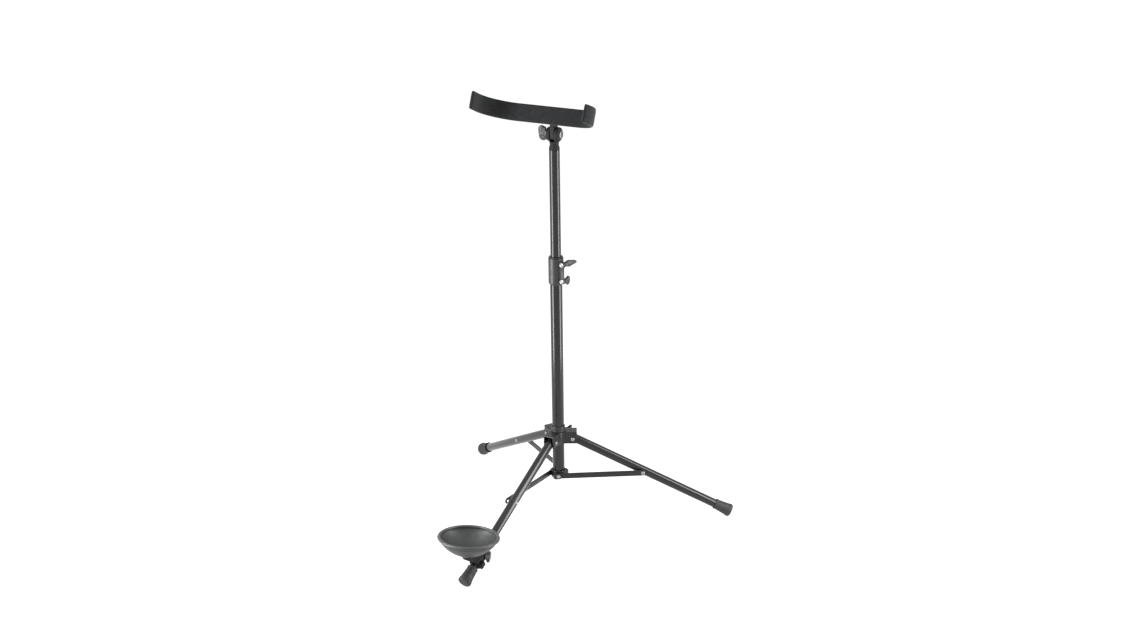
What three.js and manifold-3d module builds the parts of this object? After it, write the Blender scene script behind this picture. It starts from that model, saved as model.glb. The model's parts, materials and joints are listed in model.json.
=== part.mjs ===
// Folding tripod stand for a bassoon or bass clarinet.
// Three tubular legs hang from a hub that slides on the lower tube, and three flat struts tie
// them to a collar at the tube's foot.  One leg carries a cup for the bell, and a telescopic
// mast carries a padded J-shaped rest arm on a tilting joint.
// Units are millimetres, +Z is up, the floor is z = 0 and the tubes' common axis is x = y = 0.

import * as THREE from 'three';
import { mergeVertices } from 'three/addons/utils/BufferGeometryUtils.js';
import Module from 'manifold-3d';

const wasm = await Module();
wasm.setup();

// ---------------------------------------------------------------- driving dimensions

const GAP = 0.3;                    // between pieces that touch
const RUN = 0.2;                    // between pieces that slide or turn on each other
const DEG = Math.PI / 180;

// Tubes of the column
const LOWER_R = 11;                 // lower tube, outside radius
const UPPER_R = 9.5;                // mast tube, outside radius
const TUBE_WALL = 1.2;
const LOWER_LENGTH = 403;
const MAST_LENGTH = 375;
const MAST_SHOWN = 221.4;           // mast above the lower tube's top end

// Legs
const LEG_R = 8;
const LEG_WALL = 1.2;
const LEG_SPREAD = 62.6 * DEG;      // from vertical, open
const LEG_REACH = 329;              // pivot to the foot's end face
const LEG_HEAD = 6;                 // tube beyond the pivot
const LEG_PLUG_H = 1.4;             // plug's head beyond the tube
const LEG_AZIMUTHS = { right: 0, back: 120 * DEG, front: 240 * DEG };

// Foot caps
const CAP_LENGTH = 33;
const CAP_MOUTH_R = 9.3;
const CAP_END_R = 12;
const CAP_ROUND = 3;                // edge of the end face
const CAP_SOLE = 7.5;               // rubber beyond the tube's end
const TREAD_FLAT = 0.5;             // flat worn where the rubber meets the floor

// Hub
const PIVOT_R = 26.2;               // leg pivots from the axis
const CHEEK_GAP = 0.6;              // leg to cheek
const HUB_WALL = 2.5;
const ARM_LENGTH = 34;
const HUB_FILLET = 12;
const HUB_BEND = 2.4;               // bend between the top plate and the walls
const HUB_ABOVE = 13.9;             // top plate above the pivots
const HUB_BELOW = 8.7;
const HUB_SCREW_AZIMUTH = 52 * DEG;
const HUB_SCREW_RISE = 5.6;         // clamping screw above the pivots
const HUB_BOSS_R = 5.6;
const HUB_BOSS_H = 6.2;
const KNOB_STAND = 2.4;             // knob clear of the hub's boss
const BUSH_WALL = 1.3;
const BUSH_ABOVE = 10.3;            // bush above the top plate
const BUSH_FLANGE = 1.1;
const BUSH_LIP = 1.4;               // flange beyond the bush
const HUB_CORNER = 1.5;             // outer corners of the hub's arms

// Struts and collar
const STRUT_PIVOT = 145.3;          // along the leg from its pivot
const STRUT_RISE = 6;               // leg end above the collar end
const STRUT_W = 10.6;
const STRUT_T = 2;
const STRUT_OFFSET = 13.6;          // strut's mid-plane from the leg's
const COLLAR_WALL = 2.3;
const COLLAR_ABOVE = 9;
const COLLAR_BELOW = 5.8;
const TAB_T = 2;
const TAB_R = 6;
const SLOT_BACK = 5.6;              // slot behind the strut's pivot
const CROSS_AZIMUTH = 88 * DEG;     // rivet through collar, tube and plug
const CROSS_R = 1.75;
const CROSS_HEAD_R = 2.8;
const CROSS_HEAD_H = 1;
const CROSS_BELOW = 3.4;            // cross rivet below the collar's upper edge
const PLUG_FLANGE = 1.7;
const PLUG_DEPTH = 12;

// Rivets and screws
const PIN_R = 2.5;
const HEAD_R = 3.4;
const HEAD_H = 1.2;
const TAIL_R = 3.2;                 // flattened end of a rivet
const TAIL_H = 0.7;
const TAIL_SINK = 0.9;              // flat pressed in a leg for the rivet's tail
const SCREW_R = 3;
const SCREW_TIP = 0.6;              // chamfer on a screw's tip
const JOINT_PIN_R = 1.5;            // cross pin through the mast and its joint

// Clamp between the lower tube and the mast
const SLEEVE_R = 13.6;
const SLEEVE_LENGTH = 49.9;
const SLEEVE_OVERLAP = 25.5;        // sleeve on the lower tube
const SLEEVE_CHAMFER = 1.2;
const LUG_AZIMUTH = -47 * DEG;
const LUG_BOLT_R = 18.8;            // clamp bolts from the axis
const LUG_R = 4.8;
const LUG_HALF = 2.6;
const LUG_SLIT = 1.2;
const LOWER_BOLT = 8.6;             // clamp bolts above the sleeve's lower end
const UPPER_BOLT = 39.8;
const NUT_ACROSS = 8.6;
const NUT_T = 2.6;
const CLAMP_BUSH_LIP = 1.2;         // bush's flange beyond the lower tube's bore in the sleeve
const CLAMP_BUSH_H = 1.8;           // bush above the sleeve

// Joint on top of the mast
const SPIGOT = 24;                  // joint inside the mast
const GUIDE_FOOT = 5;               // guide below the mast's end
const GUIDE_PLUG = 14;              // guide inside the mast
const NECK_R = 8;
const NECK_H = 13;
const PIVOT_ABOVE_TUBE = 27.6;      // tilt axis above the mast's end
const FORK_R = 12.6;
const FORK_HALF = 12.6;
const FORK_DOME = 2.6;
const TONGUE_HALF = 4;
const TONGUE_R = 11;
const TILT_HEAD_R = 7.4;
const TILT_HEAD_H = 2.6;
const WASHER_R = 7.5;
const WASHER_T = 1.2;

// Rest arm, in the plane of its band: forward is the side that it opens to
const REST_AZIMUTH = 246.5 * DEG;
const REST_TILT = 26 * DEG;
const BAND_FORWARD = 21.3;          // band's middle from the tilt axis
const BAND_UP = 11.7;               // sleeve's lower edge above the tilt axis
const BAND_H = 27;
const BAND_T = 2.5;
const PAD_H = 31.5;
const PAD_T = 6;
const PAD_END = 3;                  // padding beyond the band's ends
const HOOK_STRAIGHT = 51;           // from the middle to the hook's bend
const HOOK_R = 38.5;
const HOOK_TURN = 111 * DEG;
const HOOK_TIP = 6;
const LONG_STRAIGHT = 64;           // from the middle to the long arm's bend
const LONG_R = 55.5;
const LONG_TURN = 88 * DEG;
const LONG_TIP = 19;
const PLATE_W = 22;
const PLATE_H = 25;
const PLATE_T = 3;
const BAND_RIVET_PITCH = 13;

// Cup and its clamp on the front leg
const CUP_FROM_FOOT = 19.59;        // cup's centre inwards from the foot's end, along the floor
const CUP_RIM_Z = 91.1;
const CUP_TILT = 6.1 * DEG;         // towards the column
const CUP_R = 54.3;
const CUP_DEPTH = 34;
const CUP_WALL = 2.2;
const CUP_FLOOR_R = 12.5;
const CUP_CURVE = 1.42;             // 1 is an ellipse's quarter, 2 a straight cone
const RIM_W = 8.2;
const RIM_H = 4.2;
const RIM_SLOT = 2;                 // bowl's edge held in the rim
const CLAMP_TO_FOOT = 72;           // clamp's upper end from the foot's end, along the leg
const CLAMP_LENGTH = 33;
const CLAMP_WALL = 2.3;
const CLAMP_WEB_HALF = 7;
const CUP_SEAT_R = 13;
const CUP_SEAT_T = 5;
const CUP_SCREW_HEAD_R = 5.4;       // countersink in the bowl's floor
const CUP_SCREW_SINK = 2.4;
const CUP_SCREW_LENGTH = 11;        // screw below the bowl
const CUP_SCREW_AT = 8.8;           // wing screw from the clamp's upper end
const CLAMP_EAR = { from: 21.5, to: 34, side: 16, half: 5 };

// Wing knobs: length along the screw, span and thickness of the wings, radius at the seat and
// at the waist, start of the stem's taper as a share of the length, depth of the screw's bore,
// half height of the wings at the shoulder, place of their crest as a share of the length, how
// far the crest runs on towards the end, and half height of the blunt tip
const HUB_WING = { length: 12, span: 25, thick: 5, seat: 5.6, waist: 4.2, flare: 0.3, bore: 8,
  shoulder: 7, crest: 0.5, round: 0.6, tip: 8 };
const CUP_WING = { length: 8.6, span: 21, thick: 5, seat: 5, waist: 4.2, flare: 0.3, bore: 5,
  shoulder: 6, crest: 0.55, round: 0.6, tip: 7 };
const SHORT_WING = { length: 11.5, span: 17.4, thick: 5, seat: 4.4, waist: 3.8, flare: 0.5, bore: 8,
  shoulder: 3.4, crest: 0.62, round: 0.6, tip: 6 };
const TILT_WING = { length: 14.5, span: 29, thick: 6, seat: 6.6, waist: 5, flare: 0.3, bore: 10,
  shoulder: 9.5, crest: 0.5, round: 0.6, tip: 9.5 };
const LEVER_WING = { length: 27, span: 12, thick: 7, seat: 4.4, waist: 3.8, flare: 0.3, bore: 12,
  shoulder: 3.4, crest: 0.35, round: 0.1, tip: 2.2 };
const WING_STEP = 0.4;               // wings start this far from a knob's seat

const ROUND = 20;                   // facets round a tube
const FINE = 32;                    // facets round the cup
const SMALL = 10;                   // facets round a pin
const STEM = 14;                    // facets round a knob's stem or a boss

// ---------------------------------------------------------------- worked-out places

const lean = Math.PI / 2 - LEG_SPREAD;                  // leg below the horizontal
const pivotZ = (LEG_REACH - CAP_ROUND) * Math.sin(lean)
  + (CAP_END_R - CAP_ROUND) * Math.cos(lean) + CAP_ROUND - TREAD_FLAT;
const strutEndR = PIVOT_R + STRUT_PIVOT * Math.cos(lean);
const strutEndZ = pivotZ - STRUT_PIVOT * Math.sin(lean);
const collarZ = strutEndZ - STRUT_RISE;
const strutLength = Math.hypot(strutEndR, STRUT_RISE);
const strutAngle = Math.atan2(STRUT_RISE, strutEndR);
const clampFrom = LEG_REACH - CLAMP_TO_FOOT;
const cupOut = PIVOT_R + LEG_REACH * Math.cos(lean) - CUP_FROM_FOOT;

const cheekIn = LEG_R + CHEEK_GAP;
const cheekOut = cheekIn + HUB_WALL;
const hubTop = pivotZ + HUB_ABOVE;
const hubBottom = pivotZ - HUB_BELOW;
const bushR = LOWER_R + RUN + BUSH_WALL;

const columnFoot = collarZ - COLLAR_BELOW;
const lowerTop = columnFoot + LOWER_LENGTH;
const sleeveFoot = lowerTop - SLEEVE_OVERLAP;
const sleeveTop = sleeveFoot + SLEEVE_LENGTH;
const mastTop = lowerTop + MAST_SHOWN;
const mastFoot = mastTop - MAST_LENGTH;
const tiltZ = mastTop + PIVOT_ABOVE_TUBE;

const lowerBore = LOWER_R - TUBE_WALL;
const upperBore = UPPER_R - TUBE_WALL;
const legBore = LEG_R - LEG_WALL;

// ---------------------------------------------------------------- geometry helpers

// A closed three.js geometry as a manifold solid.
function solid(geometry) {
  const g = geometry.index ? geometry.clone() : geometry;
  g.deleteAttribute('normal');
  g.deleteAttribute('uv');
  const merged = mergeVertices(g, 1e-4);
  return new wasm.Manifold(new wasm.Mesh({
    numProp: 3,
    vertProperties: new Float32Array(merged.attributes.position.array),
    triVerts: new Uint32Array(merged.index.array),
  }));
}

// A manifold solid as a three.js geometry.
function geometryOf(body) {
  const mesh = body.getMesh();
  const g = new THREE.BufferGeometry();
  g.setAttribute('position', new THREE.BufferAttribute(new Float32Array(mesh.vertProperties), 3));
  g.setIndex(new THREE.BufferAttribute(new Uint32Array(mesh.triVerts), 1));
  g.computeVertexNormals();
  return g;
}

const sum = (first, ...rest) => rest.reduce((a, b) => a.add(b), first);
const cut = (first, ...rest) => rest.reduce((a, b) => a.subtract(b), first);

// A closed profile of [radius, height] turned about Z.
function turned(profile, segments = ROUND) {
  const points = profile.map(([r, z]) => new THREE.Vector2(r, z));
  if (profile[0][0] > 0) points.push(points[0].clone());
  return new THREE.LatheGeometry(points, segments).rotateX(Math.PI / 2);
}

// A disc or rod along Z from z0 to z1.
function rod(radius, z0, z1, segments = SMALL) {
  return turned([[0, z0], [radius, z0], [radius, z1], [0, z1]], segments);
}

// A tube along Z from z0 to z1.
function pipe(outer, inner, z0, z1, segments = ROUND) {
  return turned([[inner, z0], [outer, z0], [outer, z1], [inner, z1]], segments);
}

// Turn a geometry from the Z axis to the X axis, or to the Y axis.
const alongX = (g) => g.rotateY(Math.PI / 2);
const alongY = (g) => g.rotateX(-Math.PI / 2);

function box(x0, x1, y0, y1, z0, z1) {
  const g = new THREE.BoxGeometry(x1 - x0, y1 - y0, z1 - z0);
  return g.translate((x0 + x1) / 2, (y0 + y1) / 2, (z0 + z1) / 2);
}

function shapeOf(points) {
  return new THREE.Shape(points.map(([x, y]) => new THREE.Vector2(x, y)));
}

// A shape in the XY plane, raised from z0 to z1.
function raised(shape, z0, z1, curveSegments = 5) {
  return new THREE.ExtrudeGeometry(shape, { depth: z1 - z0, bevelEnabled: false, curveSegments })
    .translate(0, 0, z0);
}

// A shape drawn in the XZ plane (x, z), thickened from y0 to y1.
function slab(shape, y0, y1, curveSegments = 5) {
  return raised(shape, -y1, -y0, curveSegments).rotateX(Math.PI / 2);
}

// A domed head standing on z, as the end of a profile that turns about Z.
const dome = (radius, height, z) => [[radius, z], [radius, z + height * 0.35],
  [radius * 0.72, z + height * 0.9], [0, z + height]];

// A domed rivet head standing on z = 0, with its shank below it.
function rivet(headR, headH, shankR, shank) {
  return turned([[0, -shank], [shankR, -shank], [shankR, 0], ...dome(headR, headH, 0)], SMALL);
}

// A pin with a domed head at each end, which stand at -half and at half.
function doublePin(half) {
  const top = dome(HEAD_R, HEAD_H, half);
  const foot = top.map(([r, z]) => [r, -z]).reverse();
  return turned([...foot, [PIN_R, -half], [PIN_R, half], ...top], SMALL);
}

// A flat bar with round ends from the origin to x = length, between y0 and y1.
function bar(length, width, y0, y1) {
  const r = width / 2;
  const s = new THREE.Shape();
  s.moveTo(0, -r);
  s.lineTo(length, -r);
  s.absarc(length, 0, r, -Math.PI / 2, Math.PI / 2, false);
  s.lineTo(0, r);
  s.absarc(0, 0, r, Math.PI / 2, 1.5 * Math.PI, false);
  return slab(s, y0, y1);
}

// A wing knob on +X: seat at x = 0, wings in the XZ plane, blind bore for its screw. The wings
// start at the shoulder's half height, are highest at the crest and end bluntly at the tip.
function wingKnob({ length, span, thick, seat, waist, flare, bore, shoulder, crest, round, tip }) {
  const half = span / 2;
  const neck = length * flare;
  const top = length * crest;
  const bend = top + (length - top) * round;
  const lean = top + (length - top) * (1 + round) / 2;
  const fill = shoulder + (half - shoulder) / 5;
  const s = new THREE.Shape();
  s.moveTo(WING_STEP, -shoulder);
  s.bezierCurveTo(neck, -fill, neck, -half, top, -half);
  s.bezierCurveTo(bend, -half, lean, -(half + tip) / 2, length, -tip);
  s.lineTo(length, tip);
  s.bezierCurveTo(lean, (half + tip) / 2, bend, half, top, half);
  s.bezierCurveTo(neck, half, neck, fill, WING_STEP, shoulder);
  const wings = solid(slab(s, -thick / 2, thick / 2, 3));
  const stem = solid(alongX(turned([[0, 0], [seat, 0], [seat, neck * 0.5], [waist, neck],
    [waist * 0.9, length * 0.7], [0, length * 0.78]], STEM)));
  return cut(stem.add(wings), solid(alongX(rod(SCREW_R + RUN, -1, bore))));
}

// A plated screw along X that ends in a knob's bore.
function knobScrew(from, to) {
  return alongX(turned([[0, from], [SCREW_R - SCREW_TIP, from], [SCREW_R, from + SCREW_TIP],
    [SCREW_R, to], [0, to]], SMALL));
}

// ---------------------------------------------------------------- materials and scene

const finishes = {
  enamel: { color: 0x1b1c1d, roughness: 0.28, metalness: 0.35 },
  castBlack: { color: 0x2b2c2e, roughness: 0.45, metalness: 0.3 },
  plated: { color: 0xc9cbcd, roughness: 0.22, metalness: 1 },
  plastic: { color: 0x242526, roughness: 0.5, metalness: 0 },
  cupPlastic: { color: 0x4a4d4d, roughness: 0.35, metalness: 0 },
  rubber: { color: 0x3c3d3d, roughness: 0.8, metalness: 0 },
  felt: { color: 0x191a1b, roughness: 1, metalness: 0 },
};

const stand = new THREE.Group();

// Adds one named sub-part with its own material to a group.
function place(group, name, shape, finish) {
  const geometry = shape.isBufferGeometry ? geometryOf(solid(shape)) : geometryOf(shape);
  const mesh = new THREE.Mesh(geometry, new THREE.MeshStandardMaterial(finishes[finish]));
  mesh.name = name;
  group.add(mesh);
  return mesh;
}

function subgroup(parent, { x = 0, y = 0, z = 0, turn = 0, pitch = 0 } = {}) {
  const g = new THREE.Group();
  g.position.set(x, y, z);
  g.rotation.set(0, pitch, turn, 'ZYX');
  parent.add(g);
  return g;
}

// ---------------------------------------------------------------- column

function buildColumn() {
  const crossPin = collarZ + COLLAR_ABOVE - CROSS_BELOW;
  const pinHole = (r) => solid(alongX(rod(r, 0, LOWER_R + 9)).rotateZ(CROSS_AZIMUTH)
    .translate(0, 0, crossPin));
  const tube = cut(solid(pipe(LOWER_R, lowerBore, columnFoot, lowerTop)), pinHole(CROSS_R + GAP));
  place(stand, 'lower_tube', tube, 'enamel');

  const plug = turned([[0, columnFoot - PLUG_FLANGE], [LOWER_R - 1, columnFoot - PLUG_FLANGE],
    [LOWER_R, columnFoot - PLUG_FLANGE + 0.8], [LOWER_R, columnFoot - GAP],
    [lowerBore - RUN, columnFoot - GAP], [lowerBore - RUN, columnFoot + PLUG_DEPTH - 1],
    [lowerBore - 1.5, columnFoot + PLUG_DEPTH], [0, columnFoot + PLUG_DEPTH]]);
  place(stand, 'base_plug', cut(solid(plug), pinHole(CROSS_R + GAP)), 'plastic');

  buildCollar(pinHole);
  const pin = alongX(rivet(CROSS_HEAD_R, CROSS_HEAD_H, CROSS_R, LOWER_R))
    .translate(LOWER_R + GAP + COLLAR_WALL + GAP, 0, 0)
    .rotateZ(CROSS_AZIMUTH)
    .translate(0, 0, crossPin);
  place(stand, 'collar_cross_rivet', pin, 'plated');
}

// Ring at the column's foot, with three tangential tabs that hold the struts' inner ends.
function buildCollar(pinHole) {
  const ringR = LOWER_R + GAP + COLLAR_WALL;
  const strutIn = STRUT_OFFSET - STRUT_T / 2;
  const strutOut = STRUT_OFFSET + STRUT_T / 2;
  const tabIn = strutOut + GAP;
  const tabOut = tabIn + TAB_T;
  let ring = solid(turned([[LOWER_R + GAP, -COLLAR_BELOW], [ringR - 1, -COLLAR_BELOW],
    [ringR, -COLLAR_BELOW + 1], [ringR, COLLAR_ABOVE - 1], [ringR - 1, COLLAR_ABOVE],
    [LOWER_R + GAP, COLLAR_ABOVE]]));
  for (const [name, azimuth] of Object.entries(LEG_AZIMUTHS)) {
    const slot = box(-SLOT_BACK, ringR + STRUT_W, -tabIn, -strutIn + GAP, -TAB_R - 1, COLLAR_ABOVE + 1);
    const tab = new THREE.Shape();
    tab.moveTo(-SLOT_BACK - 1, -TAB_R + 0.2);
    tab.lineTo(0, -TAB_R + 0.2);
    tab.absarc(0, 0, TAB_R - 0.2, -Math.PI / 2, Math.PI / 2, false);
    tab.lineTo(-SLOT_BACK - 1, TAB_R - 0.2);
    const web = shapeOf([[-SLOT_BACK, -tabOut], [-SLOT_BACK, -LOWER_R - 0.5],
      [-LOWER_R + 1.5, -LOWER_R + 2.5], [-LOWER_R + 0.4, -LOWER_R + 2.5], [-LOWER_R + 1.4, -strutIn],
      [-SLOT_BACK - 1, -tabOut]]);
    const turn = (g) => solid(g.rotateZ(azimuth));
    ring = cut(ring, turn(slot));
    ring = sum(ring, turn(slab(tab, -tabOut, -tabIn)), turn(raised(web, -TAB_R + 0.2, TAB_R - 0.2)));
    ring = cut(ring, turn(alongY(rod(PIN_R + GAP, -tabOut - 1, -LOWER_R - 0.5))));
    const shank = tabOut + GAP - LOWER_R - 0.6;
    const pin = rivet(HEAD_R, HEAD_H, PIN_R, shank).rotateX(Math.PI / 2).translate(0, -tabOut - GAP, 0);
    place(stand, `collar_pin_${name}`, turn(pin.translate(0, 0, collarZ)), 'plated');
  }
  const bore = rod(LOWER_R + GAP, -COLLAR_BELOW - 1, COLLAR_ABOVE + 1, ROUND);
  const collar = cut(ring, solid(bore)).translate([0, 0, collarZ]);
  place(stand, 'strut_collar', cut(collar, pinHole(CROSS_R + GAP)), 'castBlack');
}

// ---------------------------------------------------------------- sliding hub

// Three arms with concave rounds between them; half is half an arm's width.
function hubOutline(half, reach, fillet) {
  const s = new THREE.Shape();
  const toCentre = (cheekOut + HUB_FILLET) / Math.sin(60 * DEG);
  const corner = HUB_CORNER;
  Object.values(LEG_AZIMUTHS).forEach((azimuth, i) => {
    const at = (x, y) => [x * Math.cos(azimuth) - y * Math.sin(azimuth),
      x * Math.sin(azimuth) + y * Math.cos(azimuth)];
    const first = at(reach - corner, -half);
    if (i === 0) s.moveTo(...first);
    else s.lineTo(...first);
    s.lineTo(...at(reach, -half + corner));
    s.lineTo(...at(reach, half - corner));
    s.lineTo(...at(reach - corner, half));
    const middle = azimuth + 60 * DEG;
    s.absarc(toCentre * Math.cos(middle), toCentre * Math.sin(middle), fillet,
      azimuth - 90 * DEG, azimuth - 150 * DEG, true);
  });
  s.closePath();
  return s;
}

function buildHub() {
  const shell = new THREE.ExtrudeGeometry(hubOutline(cheekOut, ARM_LENGTH, HUB_FILLET), {
    depth: HUB_ABOVE + HUB_BELOW, bevelThickness: HUB_BEND, bevelSize: HUB_BEND,
    bevelOffset: -HUB_BEND, bevelSegments: 2, curveSegments: 6,
  }).translate(0, 0, hubBottom - HUB_BEND);
  const hollow = raised(hubOutline(cheekIn, ARM_LENGTH, HUB_FILLET + HUB_WALL),
    hubBottom - 9, hubTop - HUB_WALL, 6);
  const screwZ = pivotZ + HUB_SCREW_RISE;
  const wallR = bushR + GAP;
  let hub = cut(solid(shell), solid(hollow), solid(box(-60, 60, -60, 60, hubBottom - 9, hubBottom)));
  const boss = alongX(rod(HUB_BOSS_R, wallR, wallR + HUB_BOSS_H, STEM))
    .rotateZ(HUB_SCREW_AZIMUTH)
    .translate(0, 0, screwZ);
  hub = cut(hub.add(solid(boss)), solid(rod(wallR, hubBottom - 9, hubTop + 9, ROUND)));
  const hole = () => solid(alongX(rod(SCREW_R + RUN, LOWER_R, wallR + 30)).rotateZ(HUB_SCREW_AZIMUTH)
    .translate(0, 0, screwZ));
  hub = cut(hub, hole());
  for (const [name, azimuth] of Object.entries(LEG_AZIMUTHS)) {
    const turn = (g) => solid(g.translate(PIVOT_R, 0, pivotZ).rotateZ(azimuth));
    hub = cut(hub, turn(alongY(rod(PIN_R + GAP, -20, 20))));
    hub = cut(hub, turn(box(-2, 20, -cheekIn, cheekIn, -20, HUB_ABOVE - HUB_WALL)));
    const far = cheekOut + GAP;
    place(stand, `hub_pin_${name}`, turn(alongY(doublePin(far))), 'plated');
  }
  place(stand, 'leg_hub', hub, 'castBlack');

  const flangeR = bushR + BUSH_LIP;
  const bush = turned([[LOWER_R + RUN, hubBottom + 1], [bushR, hubBottom + 1], [bushR, hubTop + GAP],
    [flangeR, hubTop + GAP], [flangeR, hubTop + GAP + BUSH_FLANGE], [bushR, hubTop + BUSH_FLANGE + 1.2],
    [bushR, hubTop + BUSH_ABOVE - 1], [bushR - 0.6, hubTop + BUSH_ABOVE],
    [LOWER_R + RUN, hubTop + BUSH_ABOVE]]);
  place(stand, 'hub_bush', cut(solid(bush), hole()), 'plastic');

  const seat = wallR + HUB_BOSS_H + KNOB_STAND;
  const side = subgroup(stand, { z: screwZ, turn: HUB_SCREW_AZIMUTH });
  place(side, 'hub_screw', knobScrew(LOWER_R + GAP, seat + HUB_WING.bore - GAP), 'plated');
  place(subgroup(side, { x: seat }), 'hub_knob', wingKnob(HUB_WING).rotate([36, 0, 0]), 'plastic');
}

// ---------------------------------------------------------------- legs and struts

function buildLeg(name, azimuth) {
  const leg = subgroup(subgroup(stand, { turn: azimuth }), { x: PIVOT_R, z: pivotZ, pitch: lean });
  const tubeEnd = LEG_REACH - CAP_SOLE;
  const across = (r, x, y0, y1) => solid(alongY(rod(r, y0, y1)).translate(x, 0, 0));
  const flat = LEG_R - TAIL_SINK;
  const tube = cut(solid(alongX(pipe(LEG_R, legBore, -LEG_HEAD, tubeEnd))),
    across(PIN_R + GAP, 0, -20, 20), across(PIN_R + GAP, STRUT_PIVOT, -20, 20),
    across(TAIL_R + 2, STRUT_PIVOT, flat, 20));
  place(leg, `leg_tube_${name}`, tube, 'enamel');

  const plugFace = -LEG_HEAD - LEG_PLUG_H;
  const plug = alongX(turned([[0, plugFace], [LEG_R - 2.2, plugFace], [LEG_R - 0.8, plugFace + 0.6],
    [LEG_R - 0.8, -LEG_HEAD - GAP], [legBore - RUN, -LEG_HEAD - GAP], [legBore - RUN, -PIN_R - GAP],
    [0, -PIN_R - GAP]], STEM));
  place(leg, `leg_plug_${name}`, plug, 'plastic');

  const mouth = LEG_REACH - CAP_LENGTH;
  const slope = (CAP_END_R - CAP_MOUTH_R) / (CAP_LENGTH - CAP_ROUND);
  const rounding = [0, 45, 90].map((a) => [
    CAP_END_R - CAP_ROUND + CAP_ROUND * Math.cos(a * DEG),
    LEG_REACH - CAP_ROUND + CAP_ROUND * Math.sin(a * DEG)]);
  const cap = alongX(turned([[LEG_R + GAP, mouth], [CAP_MOUTH_R - 0.5, mouth],
    [CAP_MOUTH_R + slope, mouth + 1], ...rounding, [0, LEG_REACH], [0, tubeEnd + GAP],
    [LEG_R + GAP, tubeEnd + GAP]]));
  const floor = box(-60, 60, -60, 60, -60, 0).rotateY(-lean);
  const under = new THREE.Vector3(LEG_REACH, 0, 0);
  under.z = (LEG_REACH * Math.sin(lean) - pivotZ) / Math.cos(lean);
  floor.translate(under.x, under.y, under.z);
  place(leg, `foot_cap_${name}`, cut(solid(cap), solid(floor)), 'rubber');

  const tail = rivet(TAIL_R, TAIL_H, PIN_R, flat + LEG_R).rotateX(-Math.PI / 2)
    .translate(STRUT_PIVOT, flat + GAP, 0);
  place(leg, `leg_rivet_${name}`, tail, 'plated');
  return leg;
}

function buildStrut(name, azimuth) {
  const strut = subgroup(subgroup(stand, { turn: azimuth }), { z: collarZ, pitch: -strutAngle });
  const inner = -STRUT_OFFSET + STRUT_T / 2;
  const outer = -STRUT_OFFSET - STRUT_T / 2;
  const hole = (x) => solid(alongY(rod(PIN_R + GAP, outer - 1, inner + 1)).translate(x, 0, 0));
  const flat = cut(solid(bar(strutLength, STRUT_W, outer, inner)), hole(0), hole(strutLength));
  place(strut, `strut_${name}`, flat, 'enamel');
  const near = LEG_R + GAP;
  const grip = GAP - outer;
  const pin = turned([[0, near], [HEAD_R, near], [HEAD_R, -inner - GAP], [PIN_R, -inner - GAP],
    [PIN_R, grip], ...dome(HEAD_R, HEAD_H, grip)], SMALL);
  place(strut, `strut_rivet_${name}`, pin.rotateX(Math.PI / 2).translate(strutLength, 0, 0), 'plated');
}

// ---------------------------------------------------------------- cup on the front leg

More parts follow.
